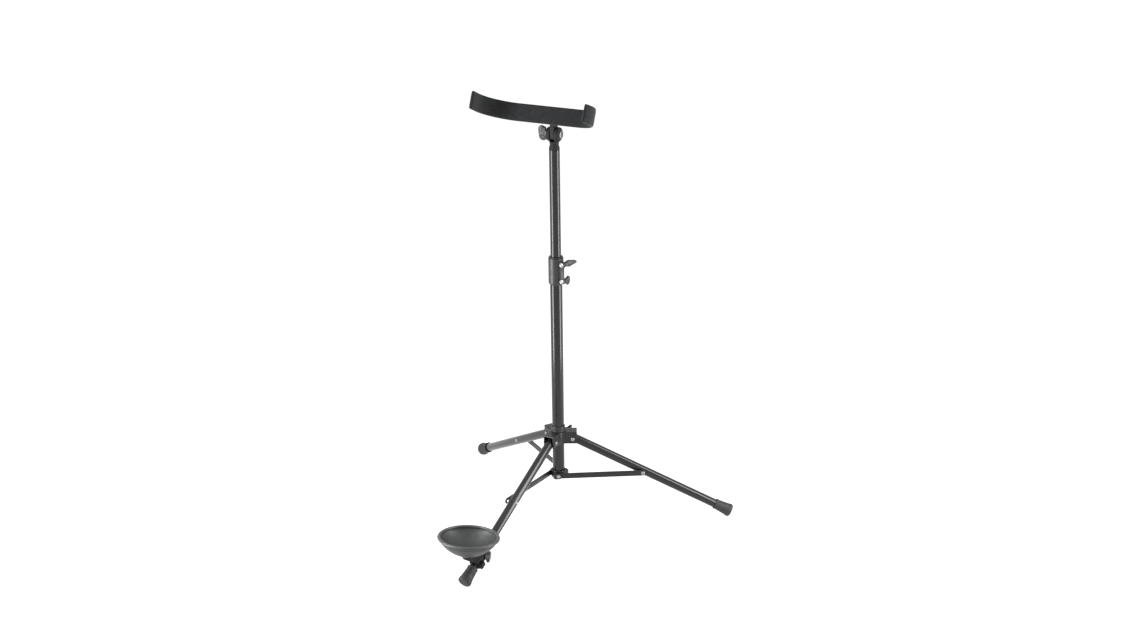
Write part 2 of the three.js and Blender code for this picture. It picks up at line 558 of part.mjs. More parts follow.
function buildCup(leg) {
  const frontLeg = subgroup(stand, { turn: LEG_AZIMUTHS.front });
  const cup = subgroup(frontLeg, { x: cupOut, z: CUP_RIM_Z, pitch: -CUP_TILT });
  const rimIn = CUP_R - RIM_W;
  const edgeOut = CUP_R - RIM_W / 2 + CUP_WALL / 2;
  const edgeIn = edgeOut - CUP_WALL;
  const screwHole = solid(rod(PIN_R + RUN, -CUP_DEPTH - 1, -CUP_DEPTH + 9));
  const floor = -CUP_DEPTH + CUP_WALL + 0.4;

  // The bowl's wall is a quarter of a superellipse, from its floor at z0 to its edge at r1.
  const curve = (r1, z0, steps) => Array.from({ length: steps + 1 }, (_, i) => {
    const a = (i / steps) * 90 * DEG;
    return [CUP_FLOOR_R + (r1 - CUP_FLOOR_R) * Math.sin(a) ** CUP_CURVE,
      -RIM_H - (-RIM_H - z0) * Math.cos(a) ** CUP_CURVE];
  });
  const edgeTop = RIM_SLOT - RIM_H;
  const bowl = turned([[0, -CUP_DEPTH], ...curve(edgeOut, -CUP_DEPTH, 6), [edgeOut, edgeTop],
    [edgeIn, edgeTop], ...curve(edgeIn, floor, 6).reverse(), [0, floor]], FINE);
  const sinkFoot = floor - CUP_SCREW_SINK;
  const sunk = solid(turned([[0, sinkFoot], [PIN_R + RUN, sinkFoot], [CUP_SCREW_HEAD_R, floor + 0.1],
    [CUP_SCREW_HEAD_R, floor + 1], [0, floor + 1]], SMALL));
  place(cup, 'cup_bowl', cut(solid(bowl), screwHole, sunk), 'cupPlastic');

  const rim = turned([[edgeIn - GAP, -RIM_H], [edgeIn - GAP, edgeTop + GAP],
    [edgeOut + GAP, edgeTop + GAP],
    [edgeOut + GAP, -RIM_H], [CUP_R - 1.2, -RIM_H], [CUP_R, -RIM_H * 0.6], [CUP_R - 0.8, -RIM_H * 0.2],
    [CUP_R - 2.8, 0], [rimIn + 2.6, 0], [rimIn + 0.5, -RIM_H * 0.25], [rimIn, -RIM_H * 0.8]], FINE);
  place(cup, 'cup_rim', rim, 'rubber');

  const screwFoot = -CUP_DEPTH - CUP_SCREW_LENGTH;
  const screw = turned([[0, screwFoot], [PIN_R, screwFoot], [PIN_R, sinkFoot + GAP],
    [CUP_SCREW_HEAD_R - 0.4, floor], [0, floor]], SMALL);
  place(cup, 'cup_screw', screw, 'plated');

  // Clamp: a sleeve on the leg, a seat under the cup and a web between them.
  const sleeveR = LEG_R + RUN + CLAMP_WALL;
  const clampTo = clampFrom + CLAMP_LENGTH;
  const toLeg = new THREE.Matrix4().makeTranslation(PIVOT_R, 0, pivotZ)
    .multiply(new THREE.Matrix4().makeRotationY(lean));
  const toCup = new THREE.Matrix4().makeTranslation(cupOut, 0, CUP_RIM_Z)
    .multiply(new THREE.Matrix4().makeRotationY(-CUP_TILT));
  const inLeg = (g) => solid(g.applyMatrix4(toLeg));
  const inCup = (g) => solid(g.applyMatrix4(toCup));
  const sleeve = alongX(turned([[0, clampFrom], [sleeveR - 1, clampFrom], [sleeveR, clampFrom + 1],
    [sleeveR, clampTo - 1], [sleeveR - 1, clampTo], [0, clampTo]]));
  const seatTop = -CUP_DEPTH - GAP;
  const seat = turned([[0, seatTop - CUP_SEAT_T], [CUP_SEAT_R - 3, seatTop - CUP_SEAT_T],
    [CUP_SEAT_R, seatTop - 1.5], [CUP_SEAT_R, seatTop], [0, seatTop]]);
  const legPoint = (t, up) => new THREE.Vector3(t, 0, up).applyMatrix4(toLeg);
  const cupPoint = (x, z) => new THREE.Vector3(x, 0, z).applyMatrix4(toCup);
  const webPoints = [legPoint(clampFrom + 2, 4), legPoint(clampFrom + 4, sleeveR - 0.5),
    cupPoint(-CUP_SEAT_R + 3, seatTop - 1.5), cupPoint(CUP_SEAT_R - 4, seatTop - 1.5),
    cupPoint(CUP_SEAT_R - 8, seatTop - CUP_SEAT_T - 4), legPoint(clampTo - 1, 6)];
  const web = slab(shapeOf(webPoints.map((p) => [p.x, p.z])), -CLAMP_WEB_HALF, CLAMP_WEB_HALF);
  const screwT = clampFrom + CUP_SCREW_AT;
  const ear = box(clampFrom + CLAMP_EAR.from, clampFrom + CLAMP_EAR.to, 0, CLAMP_EAR.side,
    -CLAMP_EAR.half, CLAMP_EAR.half);
  const block = cut(sum(inLeg(sleeve), inCup(seat), solid(web), inLeg(ear)),
    inLeg(alongX(rod(LEG_R + RUN, clampFrom - 9, clampTo + 9, ROUND))),
    inLeg(alongY(rod(SCREW_R + RUN, 4, sleeveR + 9)).translate(screwT, 0, 0)),
    inCup(rod(PIN_R + RUN, screwFoot - 0.5, -CUP_DEPTH + 1)));
  place(frontLeg, 'cup_clamp', block, 'castBlack');

  const side = subgroup(leg, { x: screwT, turn: 90 * DEG });
  const knobSeat = sleeveR + GAP;
  place(side, 'cup_wing_screw', knobScrew(LEG_R + GAP, knobSeat + CUP_WING.bore - GAP), 'plated');
  place(subgroup(side, { x: knobSeat }), 'cup_knob', wingKnob(CUP_WING).rotate([-50, 0, 0]), 'plastic');
}

// ---------------------------------------------------------------- clamp round the column

function buildColumnClamp() {
  const bore = LOWER_R + RUN;
  const z0 = sleeveFoot;
  const z1 = sleeveTop;
  const body = solid(turned([[0, z0], [SLEEVE_R - SLEEVE_CHAMFER, z0], [SLEEVE_R, z0 + 3],
    [SLEEVE_R, z1 - 1], [SLEEVE_R - 1, z1], [0, z1]]));
  const ear = new THREE.Shape();
  ear.moveTo(LOWER_R, z0 + LOWER_BOLT - LUG_R);
  ear.absarc(LUG_BOLT_R, z0 + LOWER_BOLT, LUG_R, -Math.PI / 2, 60 * DEG, false);
  ear.lineTo(LUG_BOLT_R + 0.6, z0 + LOWER_BOLT + LUG_R + 3);
  ear.lineTo(LUG_BOLT_R + 0.6, z0 + UPPER_BOLT - LUG_R - 3);
  ear.absarc(LUG_BOLT_R, z0 + UPPER_BOLT, LUG_R, -60 * DEG, Math.PI / 2, false);
  ear.lineTo(LOWER_R, z0 + UPPER_BOLT + LUG_R);
  const turn = (g) => solid(g.rotateZ(LUG_AZIMUTH));
  const bolts = [z0 + LOWER_BOLT, z0 + UPPER_BOLT];
  const holes = bolts.map((z) => turn(alongY(rod(SCREW_R + RUN, -20, 20)).translate(LUG_BOLT_R, 0, z)));
  const sleeve = cut(body.add(turn(slab(ear, -LUG_HALF, LUG_HALF))),
    solid(rod(bore, z0 - 1, z1 + 1, ROUND)),
    turn(box(LOWER_R - 3, 40, -LUG_SLIT / 2, LUG_SLIT / 2, z0 - 1, z1 + 1)), ...holes);
  place(stand, 'clamp_sleeve', sleeve, 'castBlack');

  const bushFoot = lowerTop + GAP;
  const flange = z1 + GAP;
  const lip = bore + CLAMP_BUSH_LIP;
  const bush = cut(solid(turned([[UPPER_R + RUN, bushFoot], [bore - RUN, bushFoot], [bore - RUN, flange],
    [lip, flange], [lip, flange + 1], [bore, flange + CLAMP_BUSH_H],
    [UPPER_R + RUN, flange + CLAMP_BUSH_H]])),
  turn(box(UPPER_R - 3, 40, -LUG_SLIT / 2, LUG_SLIT / 2, bushFoot - 1, flange + 9)));
  place(stand, 'clamp_bush', bush, 'plastic');

  const nutR = NUT_ACROSS / 2 / Math.cos(30 * DEG);
  const seat = LUG_HALF + GAP;
  const kinds = [['lower', SHORT_WING, 8], ['upper', LEVER_WING, 0]];
  kinds.forEach(([name, wing, roll], i) => {
    const lug = subgroup(stand, { z: bolts[i], turn: LUG_AZIMUTH });
    const away = subgroup(lug, { x: LUG_BOLT_R, turn: 90 * DEG });
    const nut = turn(alongY(rod(nutR, -seat - NUT_T, -seat, 6)).translate(LUG_BOLT_R, 0, bolts[i]));
    place(stand, `clamp_nut_${name}`, cut(nut, holes[i]), 'plated');
    const screw = knobScrew(-seat - NUT_T - 1, seat + wing.bore - GAP);
    place(away, `clamp_screw_${name}`, screw, 'plated');
    place(subgroup(away, { x: seat }), `clamp_knob_${name}`,
      wingKnob(wing).rotate([roll, 0, 0]), 'plastic');
  });
}

// ---------------------------------------------------------------- mast and tilting joint

function buildMast() {
  const pinZ = mastTop - SPIGOT / 2;
  const across = (r, half) => solid(alongX(rod(r, -half, half)).rotateZ(REST_AZIMUTH)
    .translate(0, 0, pinZ));
  const pinHole = across(JOINT_PIN_R + RUN, 20);
  place(stand, 'mast_tube', cut(solid(pipe(UPPER_R, upperBore, mastFoot, mastTop)), pinHole), 'enamel');
  place(stand, 'joint_pin', across(JOINT_PIN_R, UPPER_R - 0.3), 'plated');

  const guideFoot = mastFoot - GUIDE_FOOT;
  const guideHead = mastFoot + GUIDE_PLUG;
  const guide = turned([[0, guideFoot], [lowerBore - 1, guideFoot], [lowerBore - RUN, guideFoot + 1],
    [lowerBore - RUN, mastFoot - GAP], [upperBore - RUN, mastFoot - GAP],
    [upperBore - RUN, guideHead - 1],
    [upperBore - 1.2, guideHead], [0, guideHead]]);
  place(stand, 'mast_guide', guide, 'plastic');

  const stem = solid(turned([[0, mastTop - SPIGOT], [upperBore - RUN, mastTop - SPIGOT],
    [upperBore - RUN, mastTop + GAP], [UPPER_R, mastTop + GAP], [UPPER_R, mastTop + 2.4],
    [NECK_R, mastTop + 8],
    [NECK_R, mastTop + NECK_H], [FORK_R - 2.4, tiltZ - FORK_R + 4], [FORK_R - 1.2, tiltZ - FORK_R + 8],
    [0, tiltZ - FORK_R + 8]]));
  const cheeks = alongY(turned([[0, -FORK_HALF], [FORK_R - 4.4, -FORK_HALF],
    [FORK_R - 1.6, -FORK_HALF + 0.9],
    [FORK_R, -FORK_HALF + FORK_DOME], [FORK_R, FORK_HALF - FORK_DOME], [FORK_R - 1.6, FORK_HALF - 0.9],
    [FORK_R - 4.4, FORK_HALF], [0, FORK_HALF]]));
  const face = subgroup(stand, { turn: REST_AZIMUTH });
  const slotHalf = TONGUE_HALF + GAP;
  const slotFoot = tiltZ - TONGUE_R - 1.2;
  const fork = cut(stem.add(solid(cheeks.translate(0, 0, tiltZ))),
    solid(box(-20, 20, -slotHalf, slotHalf, slotFoot, tiltZ + 40)),
    solid(alongY(rod(SCREW_R + RUN, -20, 20)).translate(0, 0, tiltZ)),
    pinHole.rotate([0, 0, -REST_AZIMUTH / DEG]));
  place(face, 'joint_fork', fork, 'castBlack');

  const knobSeat = FORK_HALF + GAP + WASHER_T + GAP;
  const bolt = subgroup(face, { z: tiltZ });
  const shank = FORK_HALF + GAP + knobSeat + TILT_WING.bore - GAP;
  place(bolt, 'tilt_bolt', rivet(TILT_HEAD_R, TILT_HEAD_H, SCREW_R, shank).rotateX(-Math.PI / 2)
    .translate(0, FORK_HALF + GAP, 0), 'plated');
  place(bolt, 'tilt_washer', alongY(pipe(WASHER_R, SCREW_R + RUN, -FORK_HALF - GAP - WASHER_T,
    -FORK_HALF - GAP, STEM)), 'plated');
  const knob = subgroup(bolt, { y: -knobSeat, turn: -90 * DEG });
  place(knob, 'tilt_knob', wingKnob(TILT_WING).rotate([-14, 0, 0]), 'plastic');
}

// ---------------------------------------------------------------- rest arm

// The band's middle line from the hook's tip to the long arm's tip, thickened to a closed outline.
// X is forward, Y is towards the hook.  extra lengthens both ends.
function bandOutline(thickness, extra) {
  const half = thickness / 2;
  const side = (offset) => {
    const points = [];
    const walk = (sign, straight, radius, turn, tip) => {
      const run = [[0, 0, 0]];
      const steps = Math.ceil(turn / (7.5 * DEG));
      for (let i = 0; i <= steps; i += 1) {
        const a = (turn * i) / steps;
        run.push([radius - radius * Math.cos(a), straight + radius * Math.sin(a), a]);
      }
      const [x, y, a] = run[run.length - 1];
      run.push([x + (tip + extra) * Math.sin(a), y + (tip + extra) * Math.cos(a), a]);
      return run.slice(1).map(([px, py, pa]) => [px + offset * Math.cos(pa),
        sign * (py - offset * Math.sin(pa))]);
    };
    points.push(...walk(-1, LONG_STRAIGHT, LONG_R, LONG_TURN, LONG_TIP).reverse());
    points.push(...walk(1, HOOK_STRAIGHT, HOOK_R, HOOK_TURN, HOOK_TIP));
    return points;
  };
  return shapeOf([...side(-half), ...side(half).reverse()]);
}

function buildRest() {
  const arm = subgroup(subgroup(stand, { z: tiltZ, turn: REST_AZIMUTH }), { pitch: -REST_TILT });
  const bandFoot = BAND_UP + (PAD_H - BAND_H) / 2;
  const plateFoot = BAND_UP + (PAD_H - PLATE_H) / 2;
  const plateIn = BAND_FORWARD - BAND_T / 2 - GAP;
  const plateOut = plateIn - PLATE_T;
  const middle = plateFoot + PLATE_H / 2;
  const rivetZ = [-1, 1].map((side) => middle + (side * BAND_RIVET_PITCH) / 2);
  const drill = (r) => rivetZ.map((z) => solid(alongX(rod(r, -40, 60)).translate(0, 0, z)));

  const band = raised(bandOutline(BAND_T, 0), bandFoot, bandFoot + BAND_H).translate(BAND_FORWARD, 0, 0);
  place(arm, 'arm_band', cut(solid(band), ...drill(PIN_R + RUN)), 'enamel');

  const around = BAND_T + 2 * GAP;
  const outer = raised(bandOutline(PAD_T, PAD_END), BAND_UP, BAND_UP + PAD_H)
    .translate(BAND_FORWARD, 0, 0);
  const cavity = raised(bandOutline(around, GAP), bandFoot - GAP, bandFoot + BAND_H + GAP)
    .translate(BAND_FORWARD, 0, 0);
  const window = box(-60, BAND_FORWARD, -PLATE_W / 2 - GAP, PLATE_W / 2 + GAP, plateFoot - GAP,
    plateFoot + PLATE_H + GAP);
  const dimples = rivetZ.map((z) => solid(alongX(rod(HEAD_R + GAP, BAND_FORWARD, BAND_FORWARD + BAND_T / 2
    + 2 * GAP + TAIL_H)).translate(0, 0, z)));
  place(arm, 'arm_pad', cut(solid(outer), solid(cavity), solid(window), ...dimples), 'felt');

  const tongue = solid(alongY(rod(TONGUE_R, -TONGUE_HALF, TONGUE_HALF, ROUND)));
  const web = slab(shapeOf([[TONGUE_R * 0.9, -TONGUE_R * 0.3], [plateOut + 1, plateFoot + 0.6],
    [plateOut + 1, plateFoot + PLATE_H - 3], [-TONGUE_R * 0.75, TONGUE_R * 0.6], [0, 0]]),
  -TONGUE_HALF, TONGUE_HALF);
  const plate = box(plateOut, plateIn, -PLATE_W / 2, PLATE_W / 2, plateFoot, plateFoot + PLATE_H);
  const head = cut(sum(tongue, solid(web), solid(plate)), solid(alongY(rod(SCREW_R + RUN, -20, 20))),
    ...drill(PIN_R + RUN),
    ...rivetZ.map((z) => solid(alongX(rod(HEAD_R + GAP, -40, plateOut - GAP)).translate(0, 0, z))));
  place(arm, 'arm_bracket', head, 'castBlack');

  const grip = plateOut - GAP;
  const shank = BAND_FORWARD + BAND_T / 2 + GAP - grip;
  ['lower', 'upper'].forEach((name, i) => {
    const pin = turned([[0, -shank - TAIL_H], [HEAD_R, -shank - TAIL_H], [HEAD_R, -shank],
      [PIN_R, -shank], [PIN_R, 0], ...dome(HEAD_R, HEAD_H, 0)], SMALL);
    place(arm, `arm_rivet_${name}`, pin.rotateY(-Math.PI / 2).translate(grip, 0, rivetZ[i]), 'plated');
  });
}

buildColumn();
buildHub();
const legs = Object.entries(LEG_AZIMUTHS).map(([name, azimuth]) => {
  buildStrut(name, azimuth);
  return [name, buildLeg(name, azimuth)];
});
buildCup(Object.fromEntries(legs).front);
buildColumnClamp();
buildMast();
buildRest();

// The origin is on the floor, under the middle of the stand's box.
const bounds = new THREE.Box3().setFromObject(stand, true);
const middle = bounds.getCenter(new THREE.Vector3());
stand.position.set(-middle.x, -middle.y, -bounds.min.z);

export default stand;
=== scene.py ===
"""Folding floor stand for a bassoon or bass clarinet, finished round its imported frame.

A sliding hub carries three tubular legs, flat struts tie them to a collar at the column's foot,
one leg carries a cup for the bell and the telescopic mast carries a padded rest arm.
Shapes are worked out in millimetres and put into the scene in metres.
"""

import json
import math
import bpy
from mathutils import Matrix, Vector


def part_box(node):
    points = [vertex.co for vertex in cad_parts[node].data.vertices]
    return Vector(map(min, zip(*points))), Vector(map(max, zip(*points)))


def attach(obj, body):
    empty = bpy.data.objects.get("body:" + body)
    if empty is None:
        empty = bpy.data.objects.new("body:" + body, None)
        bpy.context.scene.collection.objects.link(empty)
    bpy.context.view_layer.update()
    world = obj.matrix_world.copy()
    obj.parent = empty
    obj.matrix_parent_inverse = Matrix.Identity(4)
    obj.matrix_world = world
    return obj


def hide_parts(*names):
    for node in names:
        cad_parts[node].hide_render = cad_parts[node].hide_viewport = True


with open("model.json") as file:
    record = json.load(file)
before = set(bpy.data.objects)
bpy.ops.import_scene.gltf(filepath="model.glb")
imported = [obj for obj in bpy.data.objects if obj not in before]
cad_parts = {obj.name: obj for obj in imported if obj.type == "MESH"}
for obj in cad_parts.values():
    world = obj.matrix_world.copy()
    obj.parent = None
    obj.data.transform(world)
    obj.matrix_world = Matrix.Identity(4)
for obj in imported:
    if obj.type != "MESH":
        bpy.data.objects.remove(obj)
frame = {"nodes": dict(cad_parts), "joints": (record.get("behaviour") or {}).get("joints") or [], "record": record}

from types import SimpleNamespace

import bmesh
import bpy
import numpy as np
from bpy.props import FloatProperty, FloatVectorProperty, PointerProperty
from bpy.types import Operator, Panel, PropertyGroup
from mathutils import Matrix, Vector

bl_info = {
    "name": "Instrument floor stand",
    "version": (1, 0, 0),
    "blender": (4, 5, 0),
    "location": "3D View > Sidebar > Stand",
    "description": "Builds the finished pieces of a folding floor stand for a bassoon",
    "category": "Add Mesh",
}

MM = 0.001
MERGE = 1e-3                                # mm, points nearer than this are one point
PLAY = 0.2                                  # mm, between a bore and what sits in it
HEAD_RIM = 0.25                             # the upright rim's share of a rivet head's height
DRILL = 20                                  # mm, half the length of a drill through any joint
JOINTS = {joint["name"]: joint for joint in frame["joints"]}
BODY_OF = {node: body for body, nodes in frame["record"]["behaviour"]["bodies"].items()
           for node in nodes}
AZIMUTHS = {"right": 0.0, "back": math.radians(120), "front": math.radians(240)}


# ------------------------------------------------------------------ places, in millimetres

def low(node):
    """Lowest corner of a node's box."""
    return np.array(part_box(node)[0]) / MM


def high(node):
    """Highest corner of a node's box."""
    return np.array(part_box(node)[1]) / MM


def joint_at(name):
    """A point on a joint's axis."""
    return np.array(JOINTS[name]["pos_m"]) / MM


def turn(axis, angle):
    """Rotation about X, Y or Z as a 4 by 4 array."""
    return np.array(Matrix.Rotation(angle, 4, axis))


def move(x=0.0, y=0.0, z=0.0):
    """Translation as a 4 by 4 array."""
    return np.array(Matrix.Translation((x, y, z)))


ALONG_X = turn("Y", math.pi / 2)
ALONG_Y = turn("X", -math.pi / 2)
UPRIGHT = turn("X", math.pi / 2)
AXIS = (low("lower_tube") + high("lower_tube")) / 2
PIVOT_R = joint_at("right_leg_fold")[0] - AXIS[0]
PIVOT_Z = joint_at("right_leg_fold")[2]
COLLAR_Z = joint_at("right_strut_fold")[2]
TILT_Z = joint_at("rest_tilt")[2]
LEAN = math.asin(-JOINTS["cup_slide"]["axis"][2])


def column(z=0.0, azimuth=0.0):
    """Frame on the column's axis at a height, turned to an azimuth."""
    return move(AXIS[0], AXIS[1], z) @ turn("Z", azimuth)


def leg_frame(azimuth):
    """Frame at a leg's pivot: X runs down the leg, Y is its pivot's axis."""
    return column(0.0, azimuth) @ move(PIVOT_R, 0, PIVOT_Z) @ turn("Y", LEAN)


def knob_frame(joint, roll):
    """Frame at a knob's seat, with X along its screw, rolled about the screw."""
    x, y, _ = JOINTS[joint]["axis"]
    return move(*joint_at(joint)) @ turn("Z", math.atan2(y, x)) @ turn("X", roll)


# ------------------------------------------------------------------ sizes and colours

def length(label, millimetres, about):
    """A length that the user can change."""
    return FloatProperty(name=label, description=about, default=millimetres * MM, unit="LENGTH",
                         precision=5, min=0.0)


def angle(label, degrees, about):
    """An angle that the user can change."""
    return FloatProperty(name=label, description=about, default=math.radians(degrees),
                         subtype="ANGLE", unit="ROTATION")


def number(label, value, about):
    """A plain number that the user can change."""
    return FloatProperty(name=label, description=about, default=value)


def colour(label, value, about):
    """A linear colour that the user can change."""
    return FloatVectorProperty(name=label, description=about, default=value, subtype="COLOR",
                               min=0.0, max=1.0)


class StandTubeSizes(PropertyGroup):
    lower_r: length("Lower tube radius", 11, "Outside radius of the lower tube")
    mast_r: length("Mast radius", 9.5, "Outside radius of the mast tube")
    leg_r: length("Leg radius", 8, "Outside radius of a leg tube")
    wall: length("Tube wall", 1.2, "Wall of all tubes")
    rim: length("Tube rim", 0.45, "Rounding of the tubes' ends")
    leg_reach: length("Leg reach", 329, "From a leg's pivot to the end face of its foot")
    leg_head: length("Leg head", 6, "Tube beyond the leg's pivot")
    cap_length: length("Foot length", 33, "Length of a rubber foot")
    cap_mouth: length("Foot mouth radius", 9.3, "Radius of a rubber foot at its mouth")
    cap_end: length("Foot end radius", 12, "Radius of a rubber foot at its sole")
    cap_round: length("Foot rounding", 3, "Rounding of a rubber foot's sole")
    cap_sole: length("Foot sole", 7.5, "Rubber beyond the tube's end")


class StandHubSizes(PropertyGroup):
    cheek: length("Arm half width", 11.1, "Middle of an arm to the outside of its cheek")
    wall: length("Hub wall", 2.5, "Thickness of the pressed hub")
    reach: length("Arm reach", 34, "Length of the arms from the column's axis")
    fillet: length("Fillet", 12, "Concave round between the arms")
    corner: length("Arm corner", 1.8, "Round at the arms' outer corners")
    bend: length("Bend", 2.6, "Outside bend between top plate and walls")
    mouth_bend: length("Mouth bend", 1.1, "Tighter bend at the arms' mouths, inside their corners' round")
    above: length("Plate height", 13.9, "Top plate above the leg pivots")
    below: length("Skirt depth", 8.7, "Skirt below the leg pivots")
    screw_rise: length("Screw height", 5.6, "Clamping screw above the leg pivots")
    boss_r: length("Boss radius", 5.6, "Boss round the clamping screw")
    boss_h: length("Boss length", 6.2, "Boss on the hub's wall")
    bush_r: length("Bush radius", 12.5, "Outside radius of the sliding bush")
    bush_above: length("Bush height", 10.3, "Bush above the top plate")
    knob_roll: angle("Knob roll", 36, "Turn of the wing knob about its screw")


class StandStrutSizes(PropertyGroup):
    pivot: length("Strut pivot", 145.3, "Strut's pivot along the leg")
    rise: length("Strut rise", 6, "Strut's leg end above its collar end")
    width: length("Strut width", 10.6, "Width of the flat bar")
    thick: length("Strut thickness", 2, "Thickness of the flat bar")
    offset: length("Strut offset", 13.6, "Strut's middle plane from the leg's")
    collar_wall: length("Collar wall", 2.3, "Wall of the strut collar")
    collar_above: length("Collar above", 9, "Collar above the strut pivots")
    collar_below: length("Collar below", 5.8, "Collar below the strut pivots")
    tab_r: length("Tab radius", 5.8, "Round end of a collar tab")
    tab: length("Tab thickness", 2, "Thickness of a collar tab")


class StandFastenerSizes(PropertyGroup):
    gap: length("Seat gap", 0.3, "Gap between pieces that touch")
    pin_r: length("Pin radius", 2.5, "Radius of a pin's shank")
    head_r: length("Rivet head radius", 3.4, "Radius of a domed rivet head")
    head_h: length("Rivet head height", 1.2, "Height of a domed rivet head")
    hollow_r: length("Rivet hollow radius", 1.5, "Radius of the hollow in a tubular rivet")
    hollow: length("Rivet hollow depth", 1.1, "Depth of the hollow in a tubular rivet")
    tail_r: length("Rivet tail radius", 3.2, "Radius of a rivet's flattened tail")
    screw_r: length("Screw radius", 3, "Radius of the clamping screws")
    pitch: length("Thread pitch", 1, "Pitch of the screw threads")


class StandClampSizes(PropertyGroup):
    sleeve_r: length("Sleeve radius", 13.6, "Outside radius of the column's clamp")
    azimuth: angle("Lug azimuth", -47, "Direction of the clamp's lugs")
    bolt_r: length("Bolt distance", 18.8, "Clamp bolts from the column's axis")
    lug_r: length("Lug radius", 4.8, "Round ends of the lugs")
    lug_half: length("Lug half width", 2.6, "Half the width over both lugs")
    slit: length("Slit", 1.2, "Slit between the lugs")
    lower_bolt: length("Lower bolt", 8.6, "Lower bolt above the sleeve's foot")
    upper_bolt: length("Upper bolt", 39.8, "Upper bolt above the sleeve's foot")
    nut_across: length("Nut width", 7.6, "Across the nut's flats")
    nut: length("Nut thickness", 2.2, "Thickness of a nut")


class StandJointSizes(PropertyGroup):
    azimuth: angle("Rest azimuth", 246.5, "Direction that the rest arm faces")
    spigot: length("Spigot", 24, "Joint inside the mast")
    neck_r: length("Neck radius", 8, "Radius of the joint's neck")
    fork_r: length("Fork radius", 12.6, "Radius of the fork's cheeks")
    fork_half: length("Fork half width", 12.6, "Half the width over the cheeks")
    tongue_half: length("Tongue half width", 4, "Half the tongue's width")
    tongue_r: length("Tongue radius", 11, "Radius of the tongue")
    bolt_r: length("Bolt head radius", 7.4, "Radius of the tilt bolt's domed head")
    bolt_h: length("Bolt head height", 2.6, "Height of the tilt bolt's domed head")


def knob(label, *values):
    """Sizes of a wing knob: length, span, thickness, seat radius, waist radius, flare, shoulder,
    crest, rounding and tip."""
    return FloatVectorProperty(name=label, size=10, default=values,
                               description=f"{label}: length, span, thickness, seat, waist, flare, "
                               "shoulder, crest, rounding and tip in mm or shares")


class StandKnobSizes(PropertyGroup):
    hub: knob("Hub knob", 12, 25, 5, 5.6, 4.2, 0.3, 7, 0.5, 0.6, 8)
    cup: knob("Cup knob", 8.6, 21, 5, 5, 4.2, 0.3, 6, 0.55, 0.6, 7)
    lower: knob("Lower clamp knob", 11.5, 17.4, 5, 4.4, 3.8, 0.5, 3.4, 0.62, 0.6, 6)
    upper: knob("Clamp lever", 27, 12, 7, 4.4, 3.8, 0.3, 3.4, 0.35, 0.1, 2.2)
    tilt: knob("Tilt knob", 14.5, 29, 6, 6.6, 5, 0.3, 12, 0.5, 0.6, 9.5)


class StandRestSizes(PropertyGroup):
    tilt: angle("Rest tilt", 26, "Tilt of the rest arm")
    forward: length("Band distance", 21.3, "Band's middle from the tilt axis")
    up: length("Pad height above axis", 11.7, "Pad's lower edge above the tilt axis")
    band_h: length("Band width", 27, "Width of the steel band")
    band_t: length("Band thickness", 2.5, "Thickness of the steel band")
    pad_h: length("Pad width", 31.5, "Width of the padding")
    pad_t: length("Pad thickness", 6, "Thickness over the padding")
    pad_end: length("Pad end", 3, "Padding beyond the band's ends")
    hook_straight: length("Hook straight", 51, "From the middle to the hook's bend")
    hook_r: length("Hook radius", 38.5, "Bend of the hook")
    hook_turn: angle("Hook turn", 111, "Turn of the hook")
    hook_tip: length("Hook tip", 6, "Straight end of the hook")
    long_straight: length("Long straight", 64, "From the middle to the long arm's bend")
    long_r: length("Long arm radius", 55.5, "Bend of the long arm")
    long_turn: angle("Long arm turn", 88, "Turn of the long arm")
    long_tip: length("Long arm tip", 19, "Straight end of the long arm")
    plate_w: length("Plate width", 22, "Width of the bracket's plate")
    plate_h: length("Plate height", 25, "Height of the bracket's plate")
    plate_t: length("Plate thickness", 3, "Thickness of the bracket's plate")
    rivet_pitch: length("Rivet pitch", 13, "Between the plate's rivets")


class StandCupSizes(PropertyGroup):
    out: length("Cup distance", 298.7, "Cup's centre from the column's axis")
    rim_z: length("Cup height", 91.1, "Height of the cup's rim")
    tilt: angle("Cup tilt", 6.1, "Tilt towards the column")
    radius: length("Cup radius", 54.3, "Outside radius of the rim")
    depth: length("Cup depth", 34, "Depth below the rim")
    wall: length("Cup wall", 2.2, "Wall of the bowl")
    floor_r: length("Cup floor radius", 12.5, "Flat floor of the bowl")
    curve: number("Cup curve", 1.42, "1 is an ellipse's quarter, 2 a straight cone")
    rim_w: length("Rim width", 8.2, "Width of the soft rim")
    rim_h: length("Rim height", 4.2, "Height of the soft rim")
    lip: length("Rim lip", 0.5, "Rim's inner lip over the bowl's wall")
    clamp_from: length("Clamp place", 257, "Clamp along the leg from its pivot")
    clamp: length("Clamp length", 33, "Length of the cup's clamp")
    clamp_wall: length("Clamp wall", 2.3, "Wall of the clamp's sleeve")
    web_half: length("Web half width", 7, "Half the width of the clamp's web")
    seat_r: length("Seat radius", 13, "Seat under the bowl")
    seat: length("Seat thickness", 5, "Thickness of the seat")
    screw_at: length("Screw place", 8.8, "Wing screw from the clamp's upper end")


